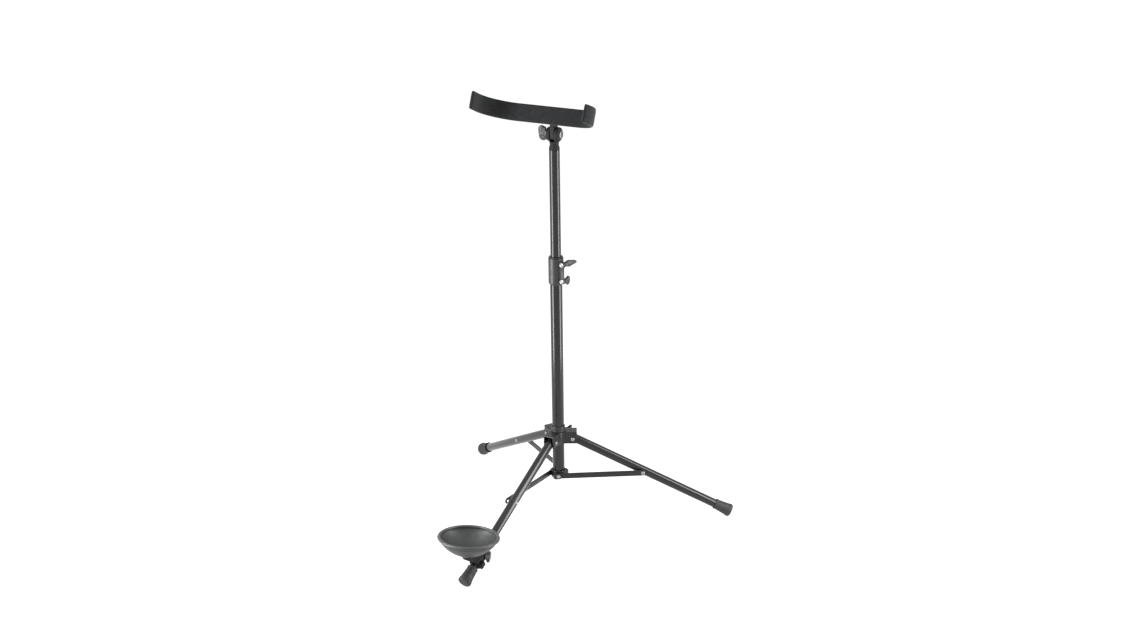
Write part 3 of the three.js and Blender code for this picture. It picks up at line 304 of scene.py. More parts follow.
class StandFinishes(PropertyGroup):
    enamel: colour("Enamel", (0.008, 0.0083, 0.009), "Glossy black enamel of the tubes")
    pressed: colour("Pressed steel", (0.006, 0.0063, 0.0071), "Satin enamel of the pressed pieces")
    nylon: colour("Nylon", (0.015, 0.0154, 0.0165), "Clamp on the column")
    plastic: colour("Plastic", (0.014, 0.014, 0.0145), "Knobs, bushes and plugs")
    # Darker than the column clamp's nylon: on the cup's clamp this darkness is painted shade from the bowl above
    # it; on the tilting joint and bracket it is their dull tone
    shell: colour("Dull nylon", (0.007, 0.0072, 0.0076), "Cup's clamp, tilting joint and bracket")
    # Painted light: a pale grey that makes the cup's knob look lit from the right, unlike the black plastic of the
    # other knobs
    grey: colour("Cup knob", (0.15, 0.153, 0.156), "Knob of the cup's clamp")
    bowl: colour("Bowl", (0.029, 0.0304, 0.0304), "Moulded cup")
    rim: colour("Rim", (0.046, 0.048, 0.048), "Soft rim of the cup")
    rubber: colour("Rubber", (0.0135, 0.0135, 0.014), "Feet")
    felt: colour("Felt", (0.012, 0.0124, 0.0132), "Cover of the padding")
    plated: colour("Plated steel", (0.62, 0.63, 0.645), "Clamping screws and the cup's screw")
    dull: colour("Dull zinc", (0.34, 0.345, 0.35), "Rivets, pins and nuts")
    blackened: colour("Blackened steel", (0.13, 0.133, 0.138), "Bolt and washer of the tilting joint")


class StandStage(PropertyGroup):
    floor: colour("Floor", (0.8, 0.8, 0.8), "Floor that lights the object from below")
    camera_x: length("Camera aside", 91.45, "Camera beside the column's axis")
    camera_y: FloatProperty(name="Camera before", description="Camera in front of the column's axis",
                            default=-3.17723, unit="LENGTH")
    camera_z: length("Camera height", 1605.585, "Camera above the floor")
    roll: angle("Camera roll", -0.64, "Turn of the picture")
    floor_glow: number("Floor white", 0.93, "Level of the floor where nothing shades it")
    world: number("World light", 0.42, "Even light from all round")
    left: number("Left softbox", 17.0, "Power of the left softbox in watts")
    right: number("Right softbox", 13.0, "Power of the right softbox in watts")
    left_side: angle("Left softbox's side", 67, "Turn of the left softbox from the camera")
    right_side: angle("Right softbox's side", 72, "Turn of the right softbox from the camera")
    strip_away: length("Softbox distance", 800, "Side softboxes from the column")
    strip_wide: length("Softbox width", 300, "Width of the side softboxes")
    strip_tall: length("Softbox height", 1300, "Height of the side softboxes above the floor")
    top: number("Top softbox", 5.0, "Power of the top softbox in watts")
    top_away: length("Top softbox forward", 500, "Top softbox in front of the column")
    top_height: length("Top softbox height", 2600, "Top softbox above the floor")
    top_aim: length("Top softbox aim", 400, "Height on the column that the top softbox faces")
    top_wide: length("Top softbox width", 1800, "Side of the top softbox")


SIZE_GROUPS = {
    "stand_tubes": StandTubeSizes, "stand_hub": StandHubSizes, "stand_struts": StandStrutSizes,
    "stand_fasteners": StandFastenerSizes, "stand_clamp": StandClampSizes,
    "stand_joint": StandJointSizes, "stand_rest": StandRestSizes, "stand_cup": StandCupSizes,
    "stand_knobs": StandKnobSizes, "stand_finishes": StandFinishes, "stand_stage": StandStage,
}


def sizes(name):
    """A group's values, with every length in millimetres."""
    group = getattr(bpy.context.scene, name)
    values = {}
    for key, prop in group.bl_rna.properties.items():
        if key in ("rna_type", "name"):
            continue
        value = getattr(group, key)
        is_length = prop.type == "FLOAT" and prop.unit == "LENGTH"
        values[key] = value / MM if is_length else value
    return SimpleNamespace(**values)


# ------------------------------------------------------------------ shapes

def grid(points, wrap_u=False, wrap_v=False):
    """Quads over a grid of points; a wrapped direction joins its last row to its first."""
    nu, nv = points.shape[:2]
    index = np.arange(nu * nv).reshape(nu, nv)
    if wrap_u:
        index = np.vstack([index, index[:1]])
    if wrap_v:
        index = np.hstack([index, index[:, :1]])
    quads = np.stack([index[:-1, :-1], index[1:, :-1], index[1:, 1:], index[:-1, 1:]], axis=-1)
    return points.reshape(-1, 3), quads.reshape(-1, 4).tolist()


def capped(points):
    """A tube of closed rings, with a flat face at each end."""
    verts, faces = grid(points, wrap_v=True)
    count = points.shape[1]
    last = (points.shape[0] - 1) * count
    return verts, faces + [list(range(count))[::-1], list(range(last, last + count))]


def joined(*shapes):
    """Several closed shapes as one."""
    verts, faces, start = [], [], 0
    for points, polygons in shapes:
        verts.append(points)
        faces += [[i + start for i in polygon] for polygon in polygons]
        start += len(points)
    return np.vstack(verts), faces


def moved(shape, matrix):
    """A shape put through a 4 by 4 matrix."""
    points, faces = shape
    return points @ matrix[:3, :3].T + matrix[:3, 3], faces


def rounded(points, closed=False, steps=5):
    """A polyline [x, y, radius] whose corners are arcs: each starts radius / tan(half the inner
    angle) before its corner, and is swept about a centre on the corner's bisector."""
    data = np.array(points, float)
    parts = []
    for i, (x, y, radius) in enumerate(data):
        corner = np.array([x, y])
        if radius == 0 or (not closed and i in (0, len(data) - 1)):
            parts.append(corner[None])
            continue
        before, after = data[i - 1, :2] - corner, data[(i + 1) % len(data), :2] - corner
        reach = 0.495 * min(np.linalg.norm(before), np.linalg.norm(after))
        before, after = before / np.linalg.norm(before), after / np.linalg.norm(after)
        half = math.acos(np.clip(before @ after, -1, 1)) / 2
        back = min(radius / math.tan(half), reach)
        centre = corner + (before + after) / np.linalg.norm(before + after) * back / math.cos(half)
        start, end = corner + before * back - centre, corner + after * back - centre
        sweep = math.pi - 2 * half
        t = np.linspace(0, 1, steps + 1)[:, None]
        arc = (np.sin((1 - t) * sweep) * start + np.sin(t * sweep) * end) / math.sin(sweep)
        parts.append(centre + arc)
    return np.vstack(parts)


def lathe(profile, segments):
    """Surface of revolution about Z: (r cos a, r sin a, z) for each profile point [r, z].  A
    profile that leaves the axis at both ends is joined into a ring."""
    r, z = np.asarray(profile, float)[:, :2].T
    a = np.linspace(0, 2 * np.pi, segments, endpoint=False)[:, None]
    points = np.stack([r * np.cos(a), r * np.sin(a), z + 0 * a], axis=-1)
    return grid(points, wrap_u=True, wrap_v=bool(min(r[0], r[-1]) > 1e-9))


def spun(points, segments=96, steps=5):
    """A rounded profile [r, z, corner radius] turned about Z."""
    hollow = points[0][0] > 0 and points[-1][0] > 0
    return lathe(rounded(points, closed=hollow, steps=steps), segments)


def solid(points, segments=96, steps=5):
    """A rounded profile turned about Z, with flat ends that reach the axis."""
    return spun([(0, points[0][1], 0), *points, (0, points[-1][1], 0)], segments, steps)


def rod(radius, start, end, segments=40):
    """A plain cylinder along Z."""
    return solid([(radius, start, 0), (radius, end, 0)], segments)


def arc(radius, start, end, count):
    """Points of an arc about the origin, between two directions in degrees."""
    a = np.radians(np.linspace(start, end, count))
    return np.column_stack([np.cos(a), np.sin(a)]) * radius


def rectangle(x0, x1, y0, y1, corner, steps=5):
    """A rectangle with round corners."""
    return rounded([(x0, y0, corner), (x1, y0, corner), (x1, y1, corner), (x0, y1, corner)], True, steps)


def three(rows, z):
    """Plane points with one height, or with a height each."""
    return np.column_stack([rows, np.full(len(rows), z, float)])


def offset(outline, distance):
    """A closed outline moved along its mitred normals, outwards when it runs anticlockwise."""
    ahead = np.roll(outline, -1, axis=0) - outline
    ahead /= np.linalg.norm(ahead, axis=1)[:, None]
    normal = np.stack([ahead[:, 1], -ahead[:, 0]], axis=1)
    mitre = normal + np.roll(normal, 1, axis=0)
    mitre /= 0.5 * (mitre ** 2).sum(axis=1)[:, None]
    return outline + mitre * distance


def prism(outline, z0, z1, edge):
    """A closed outline raised from z0 to z1, with quarter-circle edges: at angle t the ring is
    drawn in by edge (1 - sin t) and stands edge (1 - cos t) from its face."""
    t = np.linspace(0, np.pi / 2, 4)
    draw, rise = edge * (1 - np.sin(t)), edge * (1 - np.cos(t))
    levels = [(d, z0 + h) for d, h in zip(draw, rise)]
    levels += [(d, z1 - h) for d, h in zip(draw[::-1], rise[::-1])]
    return capped(np.array([three(offset(outline, -d), z) for d, z in levels]))


def block(x0, x1, y0, y1, z0, z1, edge):
    """A box with rounded upright corners and edges."""
    corner = min(edge, 0.4 * (x1 - x0), 0.4 * (y1 - y0))
    return prism(rectangle(x0, x1, y0, y1, corner, 3), z0, z1, min(edge, 0.4 * (z1 - z0)))


def slab(outline, y0, y1, edge):
    """An outline drawn in X and Z, thickened from y0 to y1."""
    return moved(prism(outline, -y1, -y0, edge), UPRIGHT)


def swept(sections, path, across, up):
    """Closed sections [s, t], or one for all, carried along a path: path + s * across + t * up."""
    return capped(path[:, None] + sections[..., :1] * across[:, None] + sections[..., 1:] * up[:, None])


def domed(radius, height, z):
    """Profile of a low domed head that stands on z, from its rim to its crown: a short upright rim
    and a quarter of an ellipse."""
    t = np.linspace(0, np.pi / 2, 12)
    rim = HEAD_RIM * height
    return np.column_stack([radius * np.cos(t) ** 0.8, z + rim + (height - rim) * np.sin(t)])


def tubular(head_r, head_h, hollow_r, hollow, z=0):
    """Profile of a tubular rivet's head that stands on z: a rolled ring, half an ellipse across,
    round a hollow of that depth below the ring's crest."""
    t = np.linspace(0, np.pi, 16)
    middle, half = (head_r + hollow_r) / 2, (head_r - hollow_r) / 2
    rim = HEAD_RIM * head_h
    ring = np.column_stack([middle + half * np.cos(t), z + rim + (head_h - rim) * np.sin(t)])
    foot = z + head_h - hollow
    return np.vstack([ring, [(hollow_r, foot), (0, foot)]])


def rivet(head_r, head_h, shank_r, shank, segments=48, hollow=None):
    """A rivet's head on z = 0 with its shank below it: domed, or tubular round a hollow given as
    its radius and depth."""
    start = rounded([(0, -shank, 0), (shank_r, -shank, 0.3), (shank_r, 0, 0), (head_r, 0, 0.15),
                     (head_r, HEAD_RIM * head_h, 0)])
    head = tubular(head_r, head_h, *hollow) if hollow else domed(head_r, head_h, 0)
    return lathe(np.vstack([start, head[1:]]), segments)


def threaded(radius, x0, x1, pitch, depth=0.32, segments=40):
    """A screw along X: its radius falls by a triangle wave of x / pitch - angle / 2 pi, which fades
    out at both ends, and its tip is chamfered."""
    rings, runout, chamfer = 8, 0.8 * pitch, 0.6
    x = np.linspace(x0, x1, max(int((x1 - x0) / pitch * rings), rings))[:, None]
    a = np.linspace(0, 2 * np.pi, segments, endpoint=False)[None]
    wave = np.abs(((x / pitch - a / (2 * np.pi)) % 1) * 2 - 1)
    fade = np.clip(np.minimum(x - x0, x1 - x) / runout, 0, 1)
    r = radius - depth * wave * fade - 0.5 * (1 - np.clip((x - x0) / chamfer, 0, 1))
    points = np.stack([x + 0 * a, r * np.cos(a), r * np.sin(a)], axis=-1)
    return capped(points)


def bezier(*corners):
    """A cubic curve through its four corners: (1-t)^3 A + 3t(1-t)^2 B + 3t^2 (1-t) C + t^3 D."""
    a, b, c, d = (np.asarray(corner, float) for corner in corners)
    t = np.linspace(0, 1, 40)[:, None]
    return (1 - t) ** 3 * a + 3 * t * (1 - t) ** 2 * b + 3 * t * t * (1 - t) * c + t ** 3 * d


def wing_knob(values):
    """A moulded wing knob on X.  Round a station x the radius is the smooth maximum, a sixth-power
    mean, of the stem's circle and of the wings' superellipse, whose half span follows two curves:
    out from the shoulder to the crest, then in to the blunt tip."""
    long, span, thick, seat, waist, flare, shoulder, crest, turn_in, tip = values
    half, neck, top = span / 2, long * flare, long * crest
    bend, lean = top + (long - top) * turn_in, top + (long - top) * (1 + turn_in) / 2
    swell = shoulder + (half - shoulder) / 5
    edge = np.vstack([bezier((0.4, shoulder), (neck, swell), (neck, half), (top, half)),
                      bezier((top, half), (bend, half), (lean, (half + tip) / 2), (long, tip))[1:]])
    cap, none = 0.9, 0.01                       # the tip's rounding; a radius too small to count
    x = np.concatenate([np.linspace(0, neck, 16)[:-1], np.linspace(neck, long - cap, 34)[:-1],
                        long - cap + cap * np.sin(np.linspace(0, np.pi / 2, 9))])[:, None]
    a = np.linspace(0, 2 * np.pi, 96, endpoint=False)[None]
    close = np.sqrt(np.clip(1 - np.clip((x - long + cap) / cap, 0, 1) ** 2, 0, 1))
    reach = np.interp(x, edge[:, 0], edge[:, 1], left=none) - cap * (1 - close)
    flat = thick / 2 - cap * (1 - close)
    chamfer = 0.35
    stem = np.interp(x, [0, chamfer, neck * 0.55, neck, 0.7 * long, 0.8 * long],
                     [seat - chamfer, seat, seat, waist, waist * 0.85, none])
    square, blend = 4, 6                        # powers of the superellipse and of the mean
    wings = (np.abs(np.sin(a) / np.maximum(reach, none)) ** square
             + np.abs(np.cos(a) / np.maximum(flat, none)) ** square) ** (-1 / square)
    r = (stem ** blend + wings ** blend) ** (1 / blend)
    points = np.stack([x + 0 * a, r * np.cos(a), r * np.sin(a)], axis=-1)
    return capped(points)


def temporary(shape):
    """A scratch object for a modifier."""
    item = bpy.data.objects.new("scratch", mesh_of("scratch", shape))
    bpy.context.scene.collection.objects.link(item)
    return item


def evaluated(item, *others):
    """The shape that an object's modifiers give; it and the others are removed."""
    bpy.context.view_layer.update()
    graph = bpy.context.evaluated_depsgraph_get()
    mesh = bpy.data.meshes.new_from_object(item.evaluated_get(graph))
    points = np.empty(len(mesh.vertices) * 3)
    mesh.vertices.foreach_get("co", points)
    faces = [list(polygon.vertices) for polygon in mesh.polygons]
    bpy.data.meshes.remove(mesh)
    for old in (item, *others):
        data = old.data
        bpy.data.objects.remove(old)
        bpy.data.meshes.remove(data)
    if not faces:
        raise RuntimeError("a combined shape came out empty")
    return points.reshape(-1, 3), faces


def combined(first, *tools, operation="DIFFERENCE"):
    """Closed shapes added to the first, or cut from it."""
    base = temporary(first)
    others = [temporary(tool) for tool in tools]
    for other in others:
        modifier = base.modifiers.new("combine", "BOOLEAN")
        modifier.operation = operation
        modifier.solver = "MANIFOLD"
        modifier.object = other
    return evaluated(base, *others)


def moulded(shape, voxel, rounds):
    """A shape with the soft edges and inner rounds of a casting: it is remeshed in even cells and
    smoothed."""
    base = temporary(shape)
    remesh = base.modifiers.new("cells", "REMESH")
    remesh.mode = "VOXEL"
    remesh.voxel_size = voxel
    smooth = base.modifiers.new("soften", "SMOOTH")
    smooth.factor = 0.5
    smooth.iterations = rounds
    return evaluated(base)


def mesh_of(name, shape):
    """A closed mesh with its doubles merged and its faces pointing outwards."""
    points, faces = shape
    mesh = bpy.data.meshes.new(name)
    mesh.from_pydata(points.tolist(), [], faces)
    work = bmesh.new()
    work.from_mesh(mesh)
    bmesh.ops.remove_doubles(work, verts=work.verts, dist=MERGE)
    bmesh.ops.recalc_face_normals(work, faces=work.faces)
    loose = sum(len(edge.link_faces) != 2 for edge in work.edges)
    work.to_mesh(mesh)
    work.free()
    if loose:
        raise RuntimeError(f"{name} is not closed: {loose} loose edges")
    return mesh


def add_piece(nodes, shape, finish, place=None, crease=35):
    """Puts a finished piece in the place of the CAD nodes that it stands for."""
    nodes = [nodes] if isinstance(nodes, str) else nodes
    name = nodes[0] + "_detail"
    mesh = mesh_of(name, moved(shape, place if place is not None else np.eye(4)))
    mesh.transform(Matrix.Scale(MM, 4))
    mesh.polygons.foreach_set("use_smooth", np.ones(len(mesh.polygons), bool))
    mesh.set_sharp_from_angle(angle=math.radians(crease))
    mesh.materials.append(FINISHES[finish]())
    piece = bpy.data.objects.new(name, mesh)
    bpy.context.scene.collection.objects.link(piece)
    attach(piece, BODY_OF[nodes[0]])
    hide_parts(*nodes)
    return piece


# ------------------------------------------------------------------ finishes

def add_node(tree, kind, inputs=None, **settings):
    """A new node in a tree, with values or links put into its inputs by name or number."""
    made = tree.nodes.new("ShaderNode" + kind)
    for key, value in settings.items():
        setattr(made, key, value)
    for key, value in (inputs or {}).items():
        if isinstance(value, bpy.types.NodeSocket):
            tree.links.new(value, made.inputs[key])
        else:
            made.inputs[key].default_value = value
    return made


def lighter(base, factor):
    """A colour made lighter or darker."""
    return tuple(min(1.0, c * factor) for c in base)


class Recipe:
    """A material under construction: short calls that add one node each and return its output."""

    def __init__(self, name, base, rough, **settings):
        self.base = base
        self.material = bpy.data.materials.new(name)
        self.material.use_nodes = True
        self.tree = self.material.node_tree
        self.shader = self.tree.nodes["Principled BSDF"]
        self.place = self.tree.nodes.new("ShaderNodeTexCoord").outputs["Object"]
        self.shader.inputs["Base Color"].default_value = (*base, 1)
        self.shader.inputs["Roughness"].default_value = rough
        for key, value in settings.items():
            self.shader.inputs[key.replace("_", " ")].default_value = value

    def node(self, kind, inputs=None, **settings):
        return add_node(self.tree, kind, inputs, **settings)

    def mapped(self, scale=(1, 1, 1), turned=(0, 0, 0), at=(0, 0, 0)):
        """Object coordinates about a point, turned and then stretched."""
        inputs = {"Location": at, "Rotation": turned, "Scale": tuple(1 / s for s in scale),
                  "Vector": self.place}
        return self.node("Mapping", inputs, vector_type="TEXTURE").outputs["Vector"]

    def noise(self, scale, detail=3.0, rough=0.5, vector=None, distortion=0.0):
        """Fractal noise with that many features to the metre."""
        inputs = {"Scale": scale, "Detail": detail, "Roughness": rough, "Distortion": distortion,
                  "Vector": self.place if vector is None else vector}
        return self.node("TexNoise", inputs).outputs["Fac"]

    def cells(self, scale):
        """Distance to the nearest point of a scatter."""
        return self.node("TexVoronoi", {"Scale": scale, "Vector": self.place}).outputs["Distance"]

    def span(self, source, low_in, high_in, low_out=0, high_out=1):
        """A value carried from one range to another, and held at its ends."""
        return self.node("MapRange", {"Value": source, "From Min": low_in, "From Max": high_in,
                                      "To Min": low_out, "To Max": high_out}).outputs["Result"]

    def spread(self, noise, low_out=0, high_out=1):
        """The range that most of a noise lies in, carried to another."""
        return self.span(noise, 0.3, 0.7, low_out, high_out)

    def calculate(self, operation, first, second):
        return self.node("Math", {0: first, 1: second}, operation=operation).outputs["Value"]

    def tinted(self, factor, dark, pale):
        """The base colour between two multiples of itself, chosen by a factor."""
        made = self.node("Mix", {6: (*lighter(self.base, dark), 1), 7: (*lighter(self.base, pale), 1),
                                 "Factor": factor}, data_type="RGBA")
        self.tree.links.new(made.outputs[2], self.shader.inputs["Base Color"])

    def raised(self, height, distance, strength=1.0, below=None):
        """A bump of that many metres, on top of another if one is given."""
        inputs = {"Strength": strength, "Distance": distance, "Height": height}
        if below is not None:
            inputs["Normal"] = below
        made = self.node("Bump", inputs)
        self.tree.links.new(made.outputs["Normal"], self.shader.inputs["Normal"])
        return made.outputs["Normal"]

    def roughened(self, source):
        self.tree.links.new(source, self.shader.inputs["Roughness"])


def clouded(name, base, rough, cloud, shades, wear, grain, relief, **settings):
    """A finish in three layers: a cloudy tint, uneven roughness and a fine grain.  Cloud, wear and
    grain start with a noise's scale and detail; the tint runs between two shades, the wear between
    the two roughnesses that follow its noise, and relief is the grain's distance and strength."""
    m = Recipe(name, base, rough, **settings)
    scale, detail, low_in = cloud
    m.tinted(m.span(m.noise(scale, detail), low_in, 0.7), *shades)
    scale, detail, smooth, coarse = wear
    m.roughened(m.spread(m.noise(scale, detail), smooth, coarse))
    m.raised(m.noise(*grain), *relief)
    return m


def finish(make):
    """Keeps one material for each recipe."""
    def once():
        name = "stand_" + make.__name__
        return bpy.data.materials.get(name) or make(name, sizes("stand_finishes")).material
    once.__name__ = make.__name__
    return once


@finish
def enamel(name, colours):
    """Glossy stoved enamel: a slight orange peel, faint hairlines along the tubes and dust."""
    m = Recipe(name, colours.enamel, 0.17, Specular_IOR_Level=0.4)
    cloud = m.noise(28, 3)
    dust = m.span(m.noise(1500, 2), 0.68, 0.76)
    hair = m.span(m.noise(700, 2, vector=m.mapped((1, 1, 0.02))), 0.62, 0.7)
    m.tinted(m.calculate("MULTIPLY", dust, m.span(cloud, 0.4, 0.65, 0.1, 0.55)), 1, 7)
    m.roughened(m.calculate("ADD", m.spread(cloud, 0.14, 0.19), m.calculate("MULTIPLY", hair, 0.04)))
    peel = m.raised(m.noise(420, 2, 0.4), 0.00001, 0.35)
    m.raised(hair, 0.000006, 0.4, peel)
    return m


@finish
def pressed(name, colours):
    """Satin powder coat on pressed steel: slightly cloudy, with a close peel."""
    return clouded(name, colours.pressed, 0.36, cloud=(60, 4, 0.3), shades=(0.8, 1.35),
                   wear=(240, 3, 0.29, 0.44), grain=(900, 3, 0.55), relief=(0.00006, 0.55),
                   Specular_IOR_Level=0.38)


@finish
def nylon(name, colours):
    """Glass-filled nylon from a mould: fine spark-eroded grain and pale fibre flecks."""
    m = Recipe(name, colours.nylon, 0.46, Specular_IOR_Level=0.5)
    m.tinted(m.span(m.noise(2600, 2, vector=m.mapped((1, 1, 0.35))), 0.66, 0.75, 0, 0.5), 1, 3.2)
    m.roughened(m.spread(m.noise(160, 4), 0.36, 0.46))
    grain = m.raised(m.noise(2200, 3, 0.6), 0.00002, 0.3)
    m.raised(m.noise(90, 2), 0.00006, 0.25, grain)
    return m


@finish
def shell(name, colours):
    """Dull black nylon of the cup's clamp and the tilting joint, with a coarse moulded grain; its dark base also
    paints the bowl's shade onto the cup's clamp.
    """
    return clouded(name, colours.shell, 0.66, cloud=(150, 4, 0.3), shades=(0.8, 1.5),
                   wear=(220, 4, 0.56, 0.74), grain=(1500, 3, 0.6), relief=(0.00003, 0.5),
                   Specular_IOR_Level=0.22)


def satin(name, base):
    """Satin moulded plastic, handled smooth in places."""
    m = Recipe(name, base, 0.38, Specular_IOR_Level=0.36)
    handled = m.noise(130, 3)
    m.tinted(m.span(handled, 0.35, 0.7), 1, 1.6)
    m.roughened(m.span(handled, 0.35, 0.65, 0.46, 0.3))
    m.raised(m.cells(2400), 0.00003, 0.5)
    return m


@finish
def plastic(name, colours):
    """Black moulded plastic of the knobs, bushes and plugs."""
    return satin(name, colours.plastic)


@finish
def grey(name, colours):
    """Moulded plastic of the cup's knob, painted paler to stand for the light that falls on it from the right."""
    return satin(name, colours.grey)


@finish
def bowl(name, colours):
    """Moulded bowl: faint rings from turning the mould, and light scuffs from the bell."""
    s = sizes("stand_cup")
    centre = (column(s.rim_z, AZIMUTHS["front"]) @ move(s.out))[:3, 3] * MM
    about = dict(at=tuple(centre), turned=(0, -s.tilt, AZIMUTHS["front"]))
    m = Recipe(name, colours.bowl, 0.46, Specular_IOR_Level=0.45)
    rings = m.node("TexWave", {"Scale": 260, "Distortion": 1.2, "Detail": 2, "Vector": m.mapped(**about)},
                   wave_type="RINGS", rings_direction="Z", wave_profile="SIN")
    scuff = m.span(m.noise(420, 4, vector=m.mapped((1, 0.12, 1), **about)), 0.6, 0.72)
    m.tinted(m.spread(m.noise(45, 4)), 0.85, 1.15)
    m.roughened(m.calculate("ADD", m.spread(m.noise(70, 3), 0.42, 0.54),
                            m.calculate("MULTIPLY", scuff, 0.14)))
    line = m.raised(rings.outputs["Fac"], 0.00001, 0.35)
    m.raised(m.noise(1500, 3), 0.00002, 0.4, line)
    return m


@finish
def vinyl(name, colours):
    """Soft vinyl of the cup's rim: semi-matt, with a slow ripple."""
    m = Recipe(name, colours.rim, 0.42, Specular_IOR_Level=0.5)
    cloud = m.noise(90, 4)
    m.tinted(m.spread(cloud), 0.85, 1.15)
    m.roughened(m.spread(cloud, 0.36, 0.5))
    ripple = m.raised(m.noise(70, 2), 0.0002, 0.5)
    m.raised(m.noise(1900, 3), 0.00004, 0.5, ripple)
    return m


@finish
def rubber(name, colours):
    """Rubber of the feet: matt, bloomed grey, scuffed and dusty near the floor."""
    m = Recipe(name, colours.rubber, 0.62, Specular_IOR_Level=0.45)
    height = m.node("SeparateXYZ", {"Vector": m.place}).outputs["Z"]
    near_floor = m.span(height, 0.001, 0.014, 1, 0)
    speck = m.span(m.noise(700, 5, 0.7), 0.45, 0.68)
    settled = m.calculate("ADD", m.calculate("MULTIPLY", near_floor, 0.7), 0.25)
    m.tinted(m.calculate("MULTIPLY", settled, speck), 1, 2.6)
    m.roughened(m.spread(m.noise(200, 4), 0.52, 0.72))
    pebble = m.raised(m.noise(1300, 4, 0.6), 0.00012, 0.6)
    m.raised(m.noise(180, 3), 0.0003, 0.35, pebble)
    return m


@finish
def felt(name, colours):
    """Needled felt over foam: matted fibres that run three ways, a soft sheen and a few pale hairs."""
    m = Recipe(name, colours.felt, 0.95, Specular_IOR_Level=0.2, Sheen_Weight=0.14, Sheen_Roughness=0.5)
    fibres = None
    for direction in ((0.3, 0.2, 0.9), (1.1, 0.4, 2.2), (2.0, 1.3, 0.3)):
        strand = m.noise(2400, 2, 0.6, m.mapped((1, 0.14, 1), direction), 0.8)
        fibres = strand if fibres is None else m.calculate("MAXIMUM", fibres, strand)
    cloud = m.noise(140, 4, 0.6)
    m.tinted(m.calculate("MULTIPLY", m.span(fibres, 0.4, 0.78), m.spread(cloud, 0.5, 1.2)), 0.55, 1.9)
    mat = m.raised(fibres, 0.00035, 0.75)
    m.raised(cloud, 0.0006, 0.35, mat)
    return m


@finish
def plated(name, colours):
    """Bright zinc plate: slightly clouded, with fine tumbling marks."""
    m = Recipe(name, colours.plated, 0.2, Metallic=1.0)
    m.tinted(m.spread(m.noise(320, 4)), 0.82, 1.12)
    marks = m.noise(2600, 3, 0.6, m.mapped((1, 0.2, 1), (0.5, 0.3, 0.8)))
    m.roughened(m.span(marks, 0.35, 0.7, 0.16, 0.34))
    m.raised(marks, 0.000012, 0.5)
    return m


@finish
def dull(name, colours):
    """Zinc plate greyed by handling, with dirt that clouds it: rivets, pins and nuts."""
    return clouded(name, colours.dull, 0.34, cloud=(420, 4, 0.35), shades=(0.6, 1.35),
                   wear=(1100, 3, 0.28, 0.48), grain=(2400, 3), relief=(0.00001, 0.5), Metallic=1.0)


@finish
def blackened(name, colours):
    """Black oxide on turned steel: oily dark metal with a fine grain."""
    return clouded(name, colours.blackened, 0.3, cloud=(260, 4, 0.3), shades=(0.75, 1.3),
                   wear=(900, 3, 0.24, 0.4), grain=(2200, 3), relief=(0.00001, 0.5), Metallic=1.0)


FINISHES = {make.__name__: make for make in (enamel, pressed, nylon, shell, plastic, grey, bowl, vinyl,
                                             rubber, felt, plated, dull, blackened)}


# ------------------------------------------------------------------ pieces

def ends(node):
    """A node's lowest and highest point above the floor."""
    return low(node)[2], high(node)[2]


def tube(radius, wall, start, end, rim):
    """A tube along Z with rounded ends."""
    return spun([(radius - wall, start, rim / 2), (radius, start, rim), (radius, end, rim),
                 (radius - wall, end, rim / 2)], 128)


def bolt_hole(bolt_r):
    """A drill for a bolt along Y."""
    return moved(rod(bolt_r + PLAY, -DRILL, DRILL), ALONG_Y)


def add_wing(screw, knob, place, start, values, finish="plastic", end=1.2):
    """A clamping screw, from its tip to just inside its knob, and the wing knob on it."""
    f = sizes("stand_fasteners")
    add_piece(screw, threaded(f.screw_r, start, end, f.pitch), "plated", place, 50)
    add_piece(knob, wing_knob(values), finish, place)


class STAND_OT_tubes(Operator):
    """Lower tube with the plug in its foot, and mast tube with its cross pin"""
    bl_idname = "stand.tubes"
    bl_label = "Tubes"

    def execute(self, context):
        s, j, f = sizes("stand_tubes"), sizes("stand_joint"), sizes("stand_fasteners")
        foot, top = ends("lower_tube")
        add_piece("lower_tube", tube(s.lower_r, s.wall, foot, top, s.rim), "enamel", column())
        mast_foot, mast_top = ends("mast_tube")
        add_piece("mast_tube", tube(s.mast_r, s.wall, mast_foot, mast_top, s.rim), "enamel", column())
        bore, flange, seat = s.lower_r - s.wall, s.lower_r - PLAY, foot - f.gap
        plug_foot, plug_top = ends("base_plug")
        round_top = plug_foot + 0.5
        plug = solid([(s.lower_r - 3, plug_foot, 1), (s.lower_r - 2, round_top, 0.4),
                      (flange, round_top, 0.7), (flange, seat, 0.1), (bore - PLAY, seat, 0),
                      (bore - PLAY, plug_top - 1, 0.6), (bore - 1.5, plug_top, 0.5)])
        add_piece("base_plug", plug, "plastic", column())
        pin_r, half = 1.5, s.mast_r - 0.15
        pin = solid([(pin_r, -half, 0.3), (pin_r, half, 0.3)], 32)
        add_piece("joint_pin", moved(pin, ALONG_X), "dull", column(mast_top - j.spigot / 2, j.azimuth))
        return {"FINISHED"}


